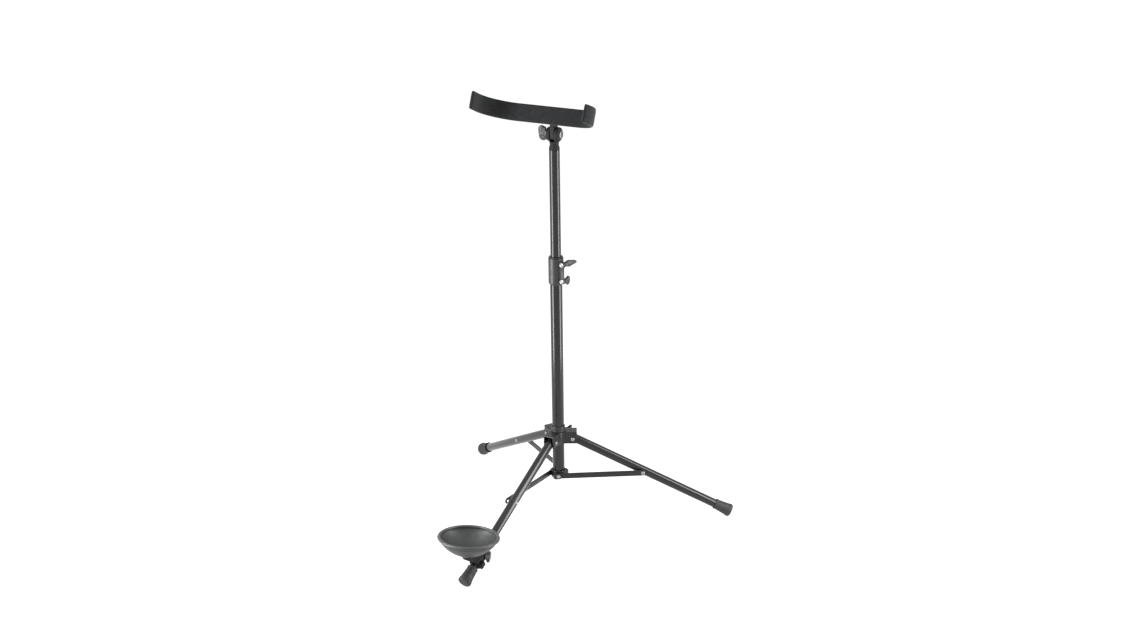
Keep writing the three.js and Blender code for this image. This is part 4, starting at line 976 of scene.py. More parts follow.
class STAND_OT_collar(Operator):
    """Strut collar with its three tabs, the struts' inner pins and the cross rivet"""
    bl_idname = "stand.collar"
    bl_label = "Strut collar"

    def execute(self, context):
        s, t, f = sizes("stand_struts"), sizes("stand_tubes"), sizes("stand_fasteners")
        inner = t.lower_r + f.gap
        ring_r = inner + s.collar_wall
        strut_in, strut_out = s.offset - s.thick / 2, s.offset + s.thick / 2
        tab_in = strut_out + f.gap
        tab_out = tab_in + s.tab
        back = 5.6                              # the tabs' reach behind their pins
        ring = spun([(inner - 3, -s.collar_below, 0), (ring_r, -s.collar_below, 1),
                     (ring_r, s.collar_above, 1), (inner - 3, s.collar_above, 0)])
        slot = block(-back, ring_r + s.width, -tab_in, f.gap - strut_in, -s.tab_r - 1,
                     s.collar_above + 1, 0.2)
        outline = np.vstack([[(-back - 1, -s.tab_r)], arc(s.tab_r, -90, 90, 24), [(-back - 1, s.tab_r)]])
        tab = slab(outline, -tab_out, -tab_in, 0.5)
        root = 2.5 - t.lower_r
        web = np.array([(-back, -tab_out), (-back, -t.lower_r - 0.5), (1.5 - t.lower_r, root),
                        (0.4 - t.lower_r, root), (1.4 - t.lower_r, -strut_in), (-back - 1, -tab_out)])
        web = prism(web[::-1], -s.tab_r, s.tab_r, 0.2)
        spins = [turn("Z", azimuth) for azimuth in AZIMUTHS.values()]
        body = combined(ring, *(moved(slot, spin) for spin in spins))
        body = combined(body, *(moved(part, spin) for spin in spins for part in (tab, web)),
                        operation="UNION")
        body = moulded(combined(body, rod(inner, -9, 12, 96)), voxel=0.36, rounds=4)
        add_piece("strut_collar", body, "pressed", column(COLLAR_Z), crease=60)
        clear = 0.6                             # from a pin's tip to the tube
        shank = tab_out + f.gap - t.lower_r - clear
        pin = moved(rivet(f.head_r, f.head_h, f.pin_r, shank, 48, (f.hollow_r, f.hollow)), UPRIGHT)
        for name, azimuth in AZIMUTHS.items():
            add_piece(f"collar_pin_{name}", pin, "dull",
                      column(COLLAR_Z, azimuth) @ move(y=-tab_out - f.gap))
        cross = (low("collar_cross_rivet") + high("collar_cross_rivet")) / 2 - AXIS
        head_r, head_h, shank_r = 2.8, 1, 1.75
        pin = moved(rivet(head_r, head_h, shank_r, t.lower_r), ALONG_X)
        add_piece("collar_cross_rivet", pin, "dull",
                  column(cross[2] + AXIS[2], math.atan2(cross[1], cross[0])) @ move(x=ring_r + f.gap))
        return {"FINISHED"}


def hub_rings(s, mouth_half):
    """Outline of the hub's arms as their outer points, the points one wall inside them, and 1 for
    each point along an arm's mouth, which has no wall."""
    outline = []
    step = 0.02                                 # across the mouth's edge, where the wall ends
    to_gap = math.radians(60)                   # from an arm to the middle between two arms
    between = turn("Z", to_gap)[:2, 0] * (s.cheek / math.sin(to_gap))
    for azimuth in AZIMUTHS.values():
        spin = turn("Z", azimuth)[:2, :2]
        local = [(s.reach, -s.cheek, s.corner), (s.reach, -mouth_half - step, 0),
                 (s.reach, -mouth_half, 0), (s.reach, 0, 0), (s.reach, mouth_half, 0),
                 (s.reach, mouth_half + step, 0), (s.reach, s.cheek, s.corner), (*between, s.fillet)]
        outline += [(*(spin @ np.array(p[:2])), p[2]) for p in local]
    outer = rounded(outline, closed=True, steps=14)
    inner, mouth = offset(outer, -s.wall), np.zeros(len(outer))
    for azimuth in AZIMUTHS.values():
        spin = turn("Z", azimuth)[:2, :2]
        own = outer @ spin
        arm = (own[:, 0] > s.reach - s.corner - 0.1) & (np.abs(own[:, 1]) < s.cheek + 0.1)
        is_open = arm & (np.abs(own[:, 1]) <= mouth_half + MERGE)
        wall_in = np.column_stack([own[:, 0], np.sign(own[:, 1]) * mouth_half]) @ spin.T
        inner = np.where(arm[:, None], wall_in, inner)
        inner = np.where(is_open[:, None], (own - [s.wall, 0]) @ spin.T, inner)
        mouth = np.where(is_open, 1, mouth)
    return outer, inner, mouth


def offset_to(rows, target, distance):
    """Points moved a distance towards their targets."""
    ahead = target - rows
    return rows + ahead / np.linalg.norm(ahead, axis=1)[:, None] * distance


def hub_shell(s, hole, top, foot):
    """The pressed hub as one closed sheet.  Rings of its outline run from the skirt's outside over
    the skirt's foot, up its inside, along the plate's underside to the hole and back over the top,
    where quarter circles bend the plate into the skirt; the mouths have no skirt."""
    outer, inner, mouth = hub_rings(s, s.cheek - s.wall)
    under = top - s.wall
    floor = np.where(mouth > 0, under, foot)
    ring = outer / np.linalg.norm(outer, axis=1)[:, None] * hole
    edge, rim = 0.5, 0.4                        # bevels of the skirt's foot and of the hole
    bead, round_in = 0.3, (0.9, 0.7)            # the plate's edge in a mouth, the round under it
    rows = [(outer, np.where(mouth > 0, under + bead, floor + edge)),
            (outer + (inner - outer) * edge / s.wall, floor),
            (inner + (outer - inner) * edge / s.wall, floor), (inner, np.minimum(floor + edge, under)),
            (inner, np.maximum(under - round_in[0], floor)),
            (offset_to(inner, ring, round_in[1]), under)]
    rows += [(inner + (ring - inner) * k, under) for k in (0.35, 0.7, 1)]
    rows += [(ring, top - rim), (offset_to(ring, outer, rim), top)]
    along = np.max([outer @ turn("Z", azimuth)[:2, 0] for azimuth in AZIMUTHS.values()], axis=0)
    bend = np.where(along > s.reach - s.corner - 0.1, s.mouth_bend, s.bend)
    lip = offset(outer, -bend[:, None])
    rows += [(ring + (lip - ring) * k, top) for k in (0.3, 0.65, 1)]
    rows += [(offset(outer, -bend[:, None] * (1 - math.sin(a))), top - bend * (1 - math.cos(a)))
             for a in np.linspace(0, np.pi / 2, 7)[1:]]
    return grid(np.stack([three(xy, z) for xy, z in rows], axis=1), wrap_u=True, wrap_v=True)


class STAND_OT_hub(Operator):
    """Pressed hub with its bush, leg pins, clamping screw and wing knob"""
    bl_idname = "stand.hub"
    bl_label = "Sliding hub"

    def execute(self, context):
        s, t, f = sizes("stand_hub"), sizes("stand_tubes"), sizes("stand_fasteners")
        top, foot = PIVOT_Z + s.above, PIVOT_Z - s.below
        hole = s.bush_r + f.gap
        boss_top, thread_r, sunk = hole + s.boss_h, f.screw_r + 0.4, 2
        boss = solid([(s.boss_r, hole + 0.5, 0), (s.boss_r, boss_top, 1.2), (thread_r, boss_top, 0.3),
                      (thread_r, boss_top - sunk, 0)], 72)
        across = math.radians(52)               # from the right arm to the clamping screw
        boss = moved(moved(boss, ALONG_X), move(z=PIVOT_Z + s.screw_rise) @ turn("Z", across))
        add_piece("leg_hub", joined(hub_shell(s, hole, top, foot), boss), "pressed", column())
        bush_in, bush_top, flange = t.lower_r + PLAY, top + s.bush_above, s.bush_r + 1.4
        bush = spun([(bush_in, foot + 1, 0.2), (s.bush_r, foot + 1, 0.4), (s.bush_r, top + f.gap, 0),
                     (flange, top + f.gap, 0.3), (flange, top + 1.5, 0.5), (s.bush_r, top + 2.2, 0.6),
                     (s.bush_r, bush_top, 1), (bush_in, bush_top, 0.4)])
        add_piece("hub_bush", bush, "plastic", column())
        half = s.cheek + f.gap
        head = tubular(f.head_r, f.head_h, f.hollow_r, f.hollow, half)
        shank = [(f.head_r, -half), (f.pin_r, -half), (f.pin_r, half), (f.head_r, half)]
        pin = moved(lathe(np.vstack([(head * [1, -1])[::-1], shank, head]), 48), ALONG_Y)
        for name, azimuth in AZIMUTHS.items():
            add_piece(f"hub_pin_{name}", pin, "dull", leg_frame(azimuth))
        shown = 2.4                             # thread between the boss and the knob
        add_wing("hub_screw", "hub_knob", knob_frame("hub_wing_turn", s.knob_roll),
                 t.lower_r + f.gap - (boss_top + shown), sizes("stand_knobs").hub)
        return {"FINISHED"}


def foot_cap(s, f, end):
    """Profile of a rubber foot along its leg: a ribbed mouth, a body that widens and a round sole."""
    reach, bore = s.leg_reach, s.leg_r + f.gap
    mouth, rib = reach - s.cap_length, s.cap_mouth + 0.55
    return [(bore, end + f.gap, 0), (bore, mouth, 0.3), (rib, mouth, 0.5), (rib, mouth + 2.6, 0.6),
            (s.cap_mouth + 0.05, mouth + 3.4, 0.6), (s.cap_end - 1.1, reach - 11, 6),
            (s.cap_end - 0.6, reach - 7.2, 0.5), (s.cap_end, reach - 6.6, 0.5),
            (s.cap_end, reach, s.cap_round)]


class STAND_OT_legs(Operator):
    """Leg tubes with their plugs, rubber feet and rivet tails"""
    bl_idname = "stand.legs"
    bl_label = "Legs"

    def execute(self, context):
        s, t, f = sizes("stand_tubes"), sizes("stand_struts"), sizes("stand_fasteners")
        end = s.leg_reach - s.cap_sole
        leg = moved(tube(s.leg_r, s.wall, -s.leg_head, end, s.rim), ALONG_X)
        bore, flange, seat = s.leg_r - s.wall - PLAY, s.leg_r - 0.3, -s.leg_head - f.gap
        face, back = -s.leg_head - 1.4, -f.pin_r - f.gap
        plug = moved(solid([(s.leg_r - 2, face, 1), (flange, face + 0.7, 0.5), (flange, seat, 0.1),
                            (bore, seat, 0), (bore, back, 0.2)], 64), ALONG_X)
        cap = moved(solid(foot_cap(s, f, end), 128, 9), ALONG_X)
        flat, tail_h, dimple = s.leg_r - 0.9, 1, 0.75
        shank = -flat - s.leg_r
        tail = solid([(f.pin_r, shank, 0.3), (f.pin_r, 0, 0), (f.tail_r, 0, 0.1),
                      (f.tail_r, tail_h, 0.45), (1.6, tail_h, 0.2), (1.3, dimple, 0.2)], 48)
        tail = moved(tail, move(t.pivot, flat + f.gap) @ ALONG_Y)
        for name, azimuth in AZIMUTHS.items():
            place = leg_frame(azimuth)
            add_piece(f"leg_tube_{name}", leg, "enamel", place)
            add_piece(f"leg_plug_{name}", plug, "plastic", place)
            points, faces = moved(cap, place)
            points[:, 2] = np.maximum(points[:, 2], 0)
            add_piece(f"foot_cap_{name}", (points, faces), "rubber")
            add_piece(f"leg_rivet_{name}", tail, "dull", place)
        return {"FINISHED"}


class STAND_OT_struts(Operator):
    """Flat struts and the rivets that join them to the legs"""
    bl_idname = "stand.struts"
    bl_label = "Struts"

    def execute(self, context):
        s, t, f = sizes("stand_struts"), sizes("stand_tubes"), sizes("stand_fasteners")
        reach = PIVOT_R + s.pivot * math.cos(LEAN)
        long, rise = math.hypot(reach, s.rise), math.atan2(s.rise, reach)
        nose = arc(s.width / 2, -90, 90, 32)
        inner, outer = s.offset - s.thick / 2, s.offset + s.thick / 2
        bar = slab(np.vstack([nose + [long, 0], -nose]), -outer, -inner, 0.55)
        spacer, grip = inner - f.gap, outer + f.gap
        start = rounded([(0, t.leg_r + f.gap, 0), (f.head_r, t.leg_r + f.gap, 0.4),
                         (f.head_r, spacer, 0.4), (f.pin_r, spacer, 0), (f.pin_r, grip, 0),
                         (f.head_r, grip, 0.15), (f.head_r, grip + HEAD_RIM * f.head_h, 0)])
        head = tubular(f.head_r, f.head_h, f.hollow_r, f.hollow, grip)
        pin = moved(lathe(np.vstack([start, head[1:]]), 48), move(long) @ UPRIGHT)
        for name, azimuth in AZIMUTHS.items():
            place = column(COLLAR_Z, azimuth) @ turn("Y", -rise)
            add_piece(f"strut_{name}", bar, "pressed", place)
            add_piece(f"strut_rivet_{name}", pin, "dull", place)
        return {"FINISHED"}


def hex_nut(across, thick):
    """A hexagonal nut on z = 0, its corners chamfered by a turned blank."""
    corner = across / 2 / math.cos(math.radians(30))
    hexagon = arc(corner, 0, 300, 6)
    outside, chamfer = corner + 0.05, 0.5
    blank = solid([(across / 2, 0, 0), (outside, chamfer, 0), (outside, thick - chamfer, 0),
                   (across / 2, thick, 0)], 72)
    return combined(prism(hexagon, 0, thick, 0.05), blank, operation="INTERSECT")


def sleeve_body(s, t, foot, top, heights, spin):
    """The clamp's sleeve before it is bored and split: a turned body, a plate with round ears at
    the two bolts, and a fin that carries the plate."""
    core, brim = t.lower_r + PLAY - 2, top - 0.2
    body = spun([(core, foot, 0), (s.sleeve_r - 1.2, foot, 0.5), (s.sleeve_r, foot + 3, 2),
                 (s.sleeve_r, brim, 1), (core, brim, 0)], 144)
    lower, upper = heights
    end = arc(s.lug_r, -90, 60, 28) + [s.bolt_r, 0]
    waist, root = s.bolt_r + 0.6, t.lower_r + 1
    ear = np.vstack([[(root, lower - s.lug_r)], end + [0, lower], [(waist, lower + s.lug_r + 3),
                     (waist, upper - s.lug_r - 3)], (end * [1, -1])[::-1] + [0, upper],
                     [(root, upper + s.lug_r)]])
    near, far, half = s.sleeve_r - 1, s.sleeve_r + 1.2, s.lug_half
    fin = rounded([(near, -half - 1.6, 0), (far, -half, 1.5), (far, half, 1.5), (near, half + 1.6, 0),
                   (t.lower_r, half, 0), (t.lower_r, -half, 0)], True)
    fin = prism(fin, lower - s.lug_r + 0.6, upper + s.lug_r - 0.6, 0.5)
    return combined(body, moved(slab(ear, -half, half, 0.7), spin), moved(fin, spin), operation="UNION")


class STAND_OT_column_clamp(Operator):
    """Split clamp between the lower tube and the mast, with its bolts, nuts, knob and lever"""
    bl_idname = "stand.column_clamp"
    bl_label = "Column clamp"

    def execute(self, context):
        s, t, f = sizes("stand_clamp"), sizes("stand_tubes"), sizes("stand_fasteners")
        foot, top = ends("clamp_sleeve")
        heights = (foot + s.lower_bolt, foot + s.upper_bolt)
        bore, spin = t.lower_r + PLAY, turn("Z", s.azimuth)

        def slit(radius, z0, z1):
            """The slit that runs out through the lugs."""
            return moved(block(radius - 3, 40, -s.slit / 2, s.slit / 2, z0 - 1, z1 + 1, 0.05), spin)
        drill = rod(f.screw_r + PLAY, -DRILL, DRILL)
        tools = [rod(bore, foot - 1, top + 1, 144), slit(t.lower_r, foot, top)]
        tools += [moved(drill, spin @ move(s.bolt_r, 0, z) @ ALONG_Y) for z in heights]
        body = combined(sleeve_body(s, t, foot, top, heights, spin), *tools)
        add_piece("clamp_sleeve", body, "nylon", column())
        mast, flange = t.mast_r + PLAY, top + f.gap
        bush_foot = high("lower_tube")[2] + f.gap
        bush = spun([(mast, bush_foot, 0.2), (bore - PLAY, bush_foot, 0.2), (bore - PLAY, flange, 0),
                     (bore + 1.2, flange, 0.3), (bore + 1.2, flange + 1.1, 0.5),
                     (mast, flange + 1.8, 0.4)])
        bush = combined(bush, slit(t.mast_r, bush_foot, flange + 8))
        add_piece("clamp_bush", bush, "plastic", column())
        seat, past_nut, rolls = s.lug_half + f.gap, 1, (8, 0)
        nut = moved(hex_nut(s.nut_across, s.nut), move(y=-seat - s.nut) @ ALONG_Y)
        nut = combined(nut, bolt_hole(f.screw_r))
        for name, z, roll in zip(("lower", "upper"), heights, rolls):
            add_piece(f"clamp_nut_{name}", nut, "dull", column(z, s.azimuth) @ move(s.bolt_r))
            add_wing(f"clamp_screw_{name}", f"clamp_knob_{name}",
                     knob_frame(f"clamp_wing_{name}_turn", math.radians(roll)),
                     -2 * seat - s.nut - past_nut, getattr(sizes("stand_knobs"), name))
        return {"FINISHED"}


class STAND_OT_tilt_joint(Operator):
    """Forked joint on the mast, with its bolt, washer and wing knob"""
    bl_idname = "stand.tilt_joint"
    bl_label = "Tilting joint"

    def execute(self, context):
        s, t, f = sizes("stand_joint"), sizes("stand_tubes"), sizes("stand_fasteners")
        place = column(TILT_Z, s.azimuth)
        top = high("mast_tube")[2] - TILT_Z
        bore, w, r = t.mast_r - t.wall - PLAY, s.fork_half, s.fork_r
        stem = solid([(bore, top - s.spigot, 1), (bore, top + f.gap, 0), (t.mast_r, top + f.gap, 0.3),
                      (t.mast_r, top + 2.4, 0.8), (s.neck_r, top + 8, 4), (s.neck_r, top + 11, 3),
                      (r - 2.2, 4 - r, 2), (r - 1.2, 8 - r, 1)], 96, 8)
        cheeks = solid([(r - 4.4, -w, 1), (r - 1.4, 0.8 - w, 2), (r, 3 - w, 1.5), (r, w - 3, 1.5),
                        (r - 1.4, w - 0.8, 2), (r - 4.4, w, 1)], 96, 6)
        gap = s.tongue_half + f.gap
        slot = block(-DRILL, DRILL, -gap, gap, -s.tongue_r - 1.2, 2 * DRILL, 0.1)
        fork = combined(stem, moved(cheeks, ALONG_Y), operation="UNION")
        fork = moulded(combined(fork, slot, bolt_hole(f.screw_r)), voxel=0.38, rounds=5)
        add_piece("joint_fork", fork, "shell", place, crease=60)
        seat, into_knob = np.linalg.norm(joint_at("tilt_wing_turn")[:2] - AXIS[:2]), 1
        bolt = rivet(s.bolt_r, s.bolt_h, f.screw_r, w + f.gap + seat + into_knob, 64)
        add_piece("tilt_bolt", moved(bolt, move(y=w + f.gap) @ ALONG_Y), "blackened", place)
        washer_r, thick, hole = 7.5, 1.2, f.screw_r + PLAY
        washer = spun([(hole, 0, 0.1), (washer_r, 0, 0.3), (washer_r, thick, 0.4),
                       (hole, thick, 0.1)], 64)
        add_piece("tilt_washer", moved(washer, move(y=-w - f.gap - thick) @ ALONG_Y), "blackened", place)
        roll = math.radians(-14)
        add_piece("tilt_knob", wing_knob(sizes("stand_knobs").tilt), "plastic",
                  knob_frame("tilt_wing_turn", roll))
        guide = frame["nodes"]["mast_guide"].data
        guide.materials.clear()
        guide.materials.append(FINISHES["plastic"]())
        return {"FINISHED"}


def rest_line(s, extra, pitch=1.2):
    """The band's middle line from the long arm's tip to the hook's tip, as points with a forward
    normal: straights joined by arcs (R - R cos a, straight + R sin a), resampled evenly."""
    def side(sign, straight, radius, sweep, tip):
        a = np.linspace(0, sweep, 80)
        bent = np.column_stack([radius * (1 - np.cos(a)), straight + radius * np.sin(a)])
        end = bent[-1] + (tip + extra) * np.array([math.sin(sweep), math.cos(sweep)])
        return np.vstack([bent, end]) * [1, sign]
    line = np.vstack([side(-1, s.long_straight, s.long_r, s.long_turn, s.long_tip)[::-1],
                      side(1, s.hook_straight, s.hook_r, s.hook_turn, s.hook_tip)])
    run = np.concatenate([[0], np.cumsum(np.linalg.norm(np.diff(line, axis=0), axis=1))])
    at = np.linspace(0, run[-1], int(run[-1] / pitch))
    line = np.column_stack([np.interp(at, run, line[:, 0]), np.interp(at, run, line[:, 1])])
    ahead = np.gradient(line, axis=0)
    ahead /= np.linalg.norm(ahead, axis=1)[:, None]
    return line, np.column_stack([ahead[:, 1], -ahead[:, 0]]), at


def along_rest(s, line, normal, sections):
    """Sections [forward, up] carried along the rest's line, at the height of its middle."""
    path = three(line, s.up + s.pad_h / 2) + [s.forward, 0, 0]
    return swept(sections, path, three(normal, 0), np.tile([0, 0, 1.0], (len(line), 1)))


def padding(s):
    """Soft padding round the band: powers of the section's cosine and sine flatten it, a slow wave
    along it quilts it, and a quarter circle closes each end."""
    line, normal, run = rest_line(s, s.pad_end)
    a = np.linspace(0, 2 * np.pi, 72, endpoint=False)
    near_end = np.minimum(run, run[-1] - run)[:, None]
    close = np.sqrt(np.clip(1 - (1 - np.clip(near_end / (s.pad_t / 2), 0, 1)) ** 2, 0.02, 1))
    cos, sin = np.cos(a)[None], np.sin(a)[None]
    swell, wave, flat_face, flat_edge = 0.035, 17.0, 0.62, 0.42
    quilt = 1 + swell * np.sin(run / wave)[:, None] * np.cos(2 * a)[None]
    deep = np.sign(cos) * np.abs(cos) ** flat_face * s.pad_t / 2 * close * quilt
    tall = np.sign(sin) * np.abs(sin) ** flat_edge * (s.pad_h / 2 - s.pad_t / 5 * (1 - close))
    return along_rest(s, line, normal, np.stack([deep, tall], axis=-1))


class STAND_OT_rest(Operator):
    """J-shaped rest arm: steel band, padding, bracket and rivets"""
    bl_idname = "stand.rest"
    bl_label = "Rest arm"

    def execute(self, context):
        s, j, f = sizes("stand_rest"), sizes("stand_joint"), sizes("stand_fasteners")
        place = column(TILT_Z, j.azimuth) @ turn("Y", -s.tilt)
        middle = s.up + s.pad_h / 2
        line, normal, _ = rest_line(s, 0)
        flat = rectangle(-s.band_t / 2, s.band_t / 2, -s.band_h / 2, s.band_h / 2, 1, 4)
        add_piece("arm_band", along_rest(s, line, normal, flat), "enamel", place)

        plate_in = s.forward - s.band_t / 2 - f.gap
        spare = 0.4                             # round the bracket's plate in the padding
        half_w, half_h = s.plate_w / 2 + spare, s.plate_h / 2 + spare
        pocket = block(0, plate_in + 0.1, -half_w, half_w, middle - half_h, middle + half_h, 1.2)
        pad = add_piece("arm_pad", combined(padding(s), pocket), "felt", place, crease=70)

        plate_out = plate_in - s.plate_t
        foot, r, half, buried = middle - s.plate_h / 2, j.tongue_r, j.tongue_half, plate_out + 1
        tongue = solid([(r, -half, 0.6), (r, half, 0.6)])
        web = rounded([(0.9 * r, -0.3 * r, 0), (buried, foot + 0.6, 0),
                       (buried, foot + s.plate_h - 3, 0), (-0.75 * r, 0.6 * r, 3), (0, 0, 0)], True)
        plate = rectangle(-s.plate_w / 2, s.plate_w / 2, -s.plate_h / 2, s.plate_h / 2, 3)
        plate = moved(prism(plate, -s.plate_t, 0, 0.6),
                      move(plate_in, 0, middle) @ UPRIGHT @ turn("Y", math.pi / 2))
        bracket = combined(moved(tongue, ALONG_Y), slab(web, -half, half, 0.6), plate, operation="UNION")
        heights = [middle - s.rivet_pitch / 2, middle + s.rivet_pitch / 2]
        grip = plate_out - f.gap
        seats = [moved(rod(f.head_r + f.gap, -40, grip), move(z=z) @ ALONG_X) for z in heights]
        bracket = moulded(combined(bracket, bolt_hole(f.screw_r), *seats), voxel=0.38, rounds=4)
        add_piece("arm_bracket", bracket, "shell", place, crease=60)
        shank = s.forward + s.band_t / 2 + f.gap - grip
        pin = moved(rivet(f.head_r, f.head_h, f.pin_r, shank), turn("Y", -math.pi / 2))
        for name, z in zip(("lower", "upper"), heights):
            add_piece(f"arm_rivet_{name}", moved(pin, move(grip, 0, z)), "dull", place)
        return {"FINISHED"}


def bowl_profile(s, edge_out, edge_in, edge_top, floor, sink, hole):
    """The bowl's wall outside and in.  Each side is a quarter of a superellipse: r = floor radius +
    (edge - floor radius) sin^n a, z = edge height - (edge height - floor height) cos^n a."""
    a = np.linspace(0, np.pi / 2, 40)

    def side(edge, z0):
        return np.column_stack([s.floor_r + (edge - s.floor_r) * np.sin(a) ** s.curve,
                                -s.rim_h - (-s.rim_h - z0) * np.cos(a) ** s.curve])
    edge = rounded([(edge_out, -s.rim_h, 0), (edge_out, edge_top, 0.4), (edge_in, edge_top, 0.4),
                    (edge_in, -s.rim_h, 0)])
    sink_r, bevel_in, bevel_down = 5.7, 0.3, 0.15
    return np.vstack([[(hole, sink), (hole, -s.depth)], side(edge_out, -s.depth), edge,
                      side(edge_in, floor)[::-1],
                      [(sink_r, floor), (sink_r - bevel_in, floor - bevel_down)]])


def cup_clamp_body(s, leg_bore, top, in_leg, in_cup):
    """The cup's clamp before it is bored: a sleeve on the leg, a seat under the bowl, a web that
    joins them and a block for the clamping screw."""
    sleeve_r, start, end = leg_bore + s.clamp_wall, s.clamp_from, s.clamp_from + s.clamp
    sleeve = solid([(sleeve_r, start, 1), (sleeve_r, end, 1)])
    seat = solid([(s.seat_r - 3, top - s.seat, 1), (s.seat_r, top - 1.5, 1), (s.seat_r, top, 0.3)])

    def at(matrix, x, z):
        """A point of a frame's X and Z plane, in the clamp's plane."""
        return (matrix @ np.array([x, 0, z, 1]))[[0, 2]]
    web = np.array([at(in_leg, start + 2, 4), at(in_leg, start + 4, sleeve_r - 0.5),
                    at(in_cup, 3 - s.seat_r, top - 1.5), at(in_cup, s.seat_r - 4, top - 1.5),
                    at(in_cup, s.seat_r - 8, top - s.seat - 4), at(in_leg, end - 1, 6)])[::-1]
    ear_from, ear_to, ear_out, ear_half = start + 21.5, start + 34, 16, 5
    ear = moved(block(ear_from, ear_to, 0, ear_out, -ear_half, ear_half, 1.5), in_leg)
    return combined(moved(sleeve, in_leg @ ALONG_X), moved(seat, in_cup),
                    slab(web, -s.web_half, s.web_half, 1), ear, operation="UNION")


class STAND_OT_cup(Operator):
    """Bell cup on the front leg: bowl, soft rim, screw, clamp and wing knob"""
    bl_idname = "stand.cup"
    bl_label = "Bell cup"

    def execute(self, context):
        s, t, f = sizes("stand_cup"), sizes("stand_tubes"), sizes("stand_fasteners")
        cup = column(s.rim_z, AZIMUTHS["front"]) @ move(s.out) @ turn("Y", -s.tilt)
        leg, g = leg_frame(AZIMUTHS["front"]), f.gap
        edge_out = s.radius - s.rim_w / 2 + s.wall / 2
        edge_in, floor, edge_top = edge_out - s.wall, -s.depth + s.wall + 0.4, 2 - s.rim_h
        sink, screw_foot = floor - 2.4, -s.depth - 11
        profile = bowl_profile(s, edge_out, edge_in, edge_top, floor, sink, f.pin_r + PLAY)
        add_piece("cup_bowl", lathe(profile, 192), "bowl", cup)
        rim_in, h = edge_in - g - s.lip, s.rim_h
        rim = spun([(edge_in - g, -h, 0.2), (edge_in - g, edge_top + g, 0.2),
                    (edge_out + g, edge_top + g, 0.2), (edge_out + g, -h, 0.2), (s.radius - 0.5, -h, 0.9),
                    (s.radius, -h * 0.55, 1.4), (s.radius - 1.6, 0, 2.4), (rim_in + 1.4, 0, 2),
                    (rim_in, -h * 0.45, 1.2), (rim_in, -h, 0.2)], 192, 7)
        add_piece("cup_rim", rim, "vinyl", cup)
        screw = spun([(0, screw_foot, 0), (f.pin_r, screw_foot, 0.4), (f.pin_r, sink + g, 0),
                      (5, floor - 0.1, 0.15), (4.6, floor + 0.1, 0.3), (0, floor + 0.25, 0)], 64)
        long, wide = 3, 0.45                    # the cross in the screw's head
        cross = [block(-x, x, -y, y, floor - 1.2, floor + 2, 0.1)
                 for x, y in ((long, wide), (wide, long))]
        add_piece("cup_screw", combined(screw, *cross), "plated", cup)

        to_local = np.linalg.inv(column(0, AZIMUTHS["front"]))
        in_leg, in_cup = to_local @ leg, to_local @ cup
        leg_bore, screw_at, far = t.leg_r + PLAY, s.clamp_from + s.screw_at, 9
        sleeve_r = leg_bore + s.clamp_wall
        tools = [moved(rod(leg_bore, s.clamp_from - far, s.clamp_from + s.clamp + far, 96),
                       in_leg @ ALONG_X),
                 moved(rod(f.screw_r + PLAY, 4, sleeve_r + far), in_leg @ move(screw_at) @ ALONG_Y),
                 moved(rod(f.pin_r + PLAY, screw_foot - 0.5, 1 - s.depth), in_cup)]
        body = cup_clamp_body(s, leg_bore, -s.depth - g, in_leg, in_cup)
        # The dark dull nylon paints the shade under the bowl onto the clamp
        add_piece("cup_clamp", moulded(combined(body, *tools), voxel=0.42, rounds=5), "shell",
                  column(0, AZIMUTHS["front"]), crease=60)
        knob_seat = sleeve_r + g
        roll = math.radians(-50)
        place = leg @ move(screw_at) @ turn("Z", math.pi / 2) @ move(knob_seat) @ turn("X", roll)
        # The cup knob's pale grey finish paints the light from the right onto it
        add_wing("cup_wing_screw", "cup_knob", place, t.leg_r + g - knob_seat, sizes("stand_knobs").cup,
                 "grey", end=1)
        return {"FINISHED"}


# ------------------------------------------------------------------ stage

def shown_white(tree):
    """1 for rays that see the background directly, in a mirror or through glass."""
    path = tree.nodes.new("ShaderNodeLightPath").outputs
    total = path["Is Camera Ray"]
    for kind in ("Is Glossy Ray", "Is Transmission Ray"):
        total = add_node(tree, "Math", {0: total, 1: path[kind]}, operation="MAXIMUM").outputs[0]
    return total


def add_floor(scene, s):
    """A wide plain floor that shades like white paper and looks white where nothing shades it."""
    half, lines = 30, 25                        # metres each way, grid lines
    u = np.linspace(-half, half, lines)
    points = np.stack(np.meshgrid(u, u, [0.0], indexing="ij"), axis=-1)[:, :, 0]
    mesh = bpy.data.meshes.new("floor")
    verts, faces = grid(points)
    mesh.from_pydata(verts.tolist(), [], faces)
    made = bpy.data.materials.new("stage_floor")
    made.use_nodes = True
    tree = made.node_tree
    tree.nodes.clear()
    mesh.materials.append(made)
    lighting = add_node(tree, "BsdfDiffuse", {"Color": (*s.floor, 1)}).outputs[0]
    faint = add_node(tree, "BsdfDiffuse", {"Color": (0.3, 0.3, 0.3, 1)}).outputs[0]
    glow = add_node(tree, "Emission", {"Strength": s.floor_glow}).outputs[0]
    shown = add_node(tree, "AddShader", {0: faint, 1: glow}).outputs[0]
    mix = add_node(tree, "MixShader", {0: shown_white(tree), 1: lighting, 2: shown}).outputs[0]
    add_node(tree, "OutputMaterial", {"Surface": mix})
    floor = bpy.data.objects.new("floor", mesh)
    scene.collection.objects.link(floor)


def add_world(scene, s):
    """Even light from all round, and white behind the object."""
    world = bpy.data.worlds.new("studio")
    world.use_nodes = True
    scene.world = world
    tree = world.node_tree
    level = add_node(tree, "MapRange", {"Value": shown_white(tree), "To Min": s.world, "To Max": 1})
    background = tree.nodes["Background"]
    background.inputs["Color"].default_value = (1, 1, 1, 1)
    tree.links.new(level.outputs["Result"], background.inputs["Strength"])


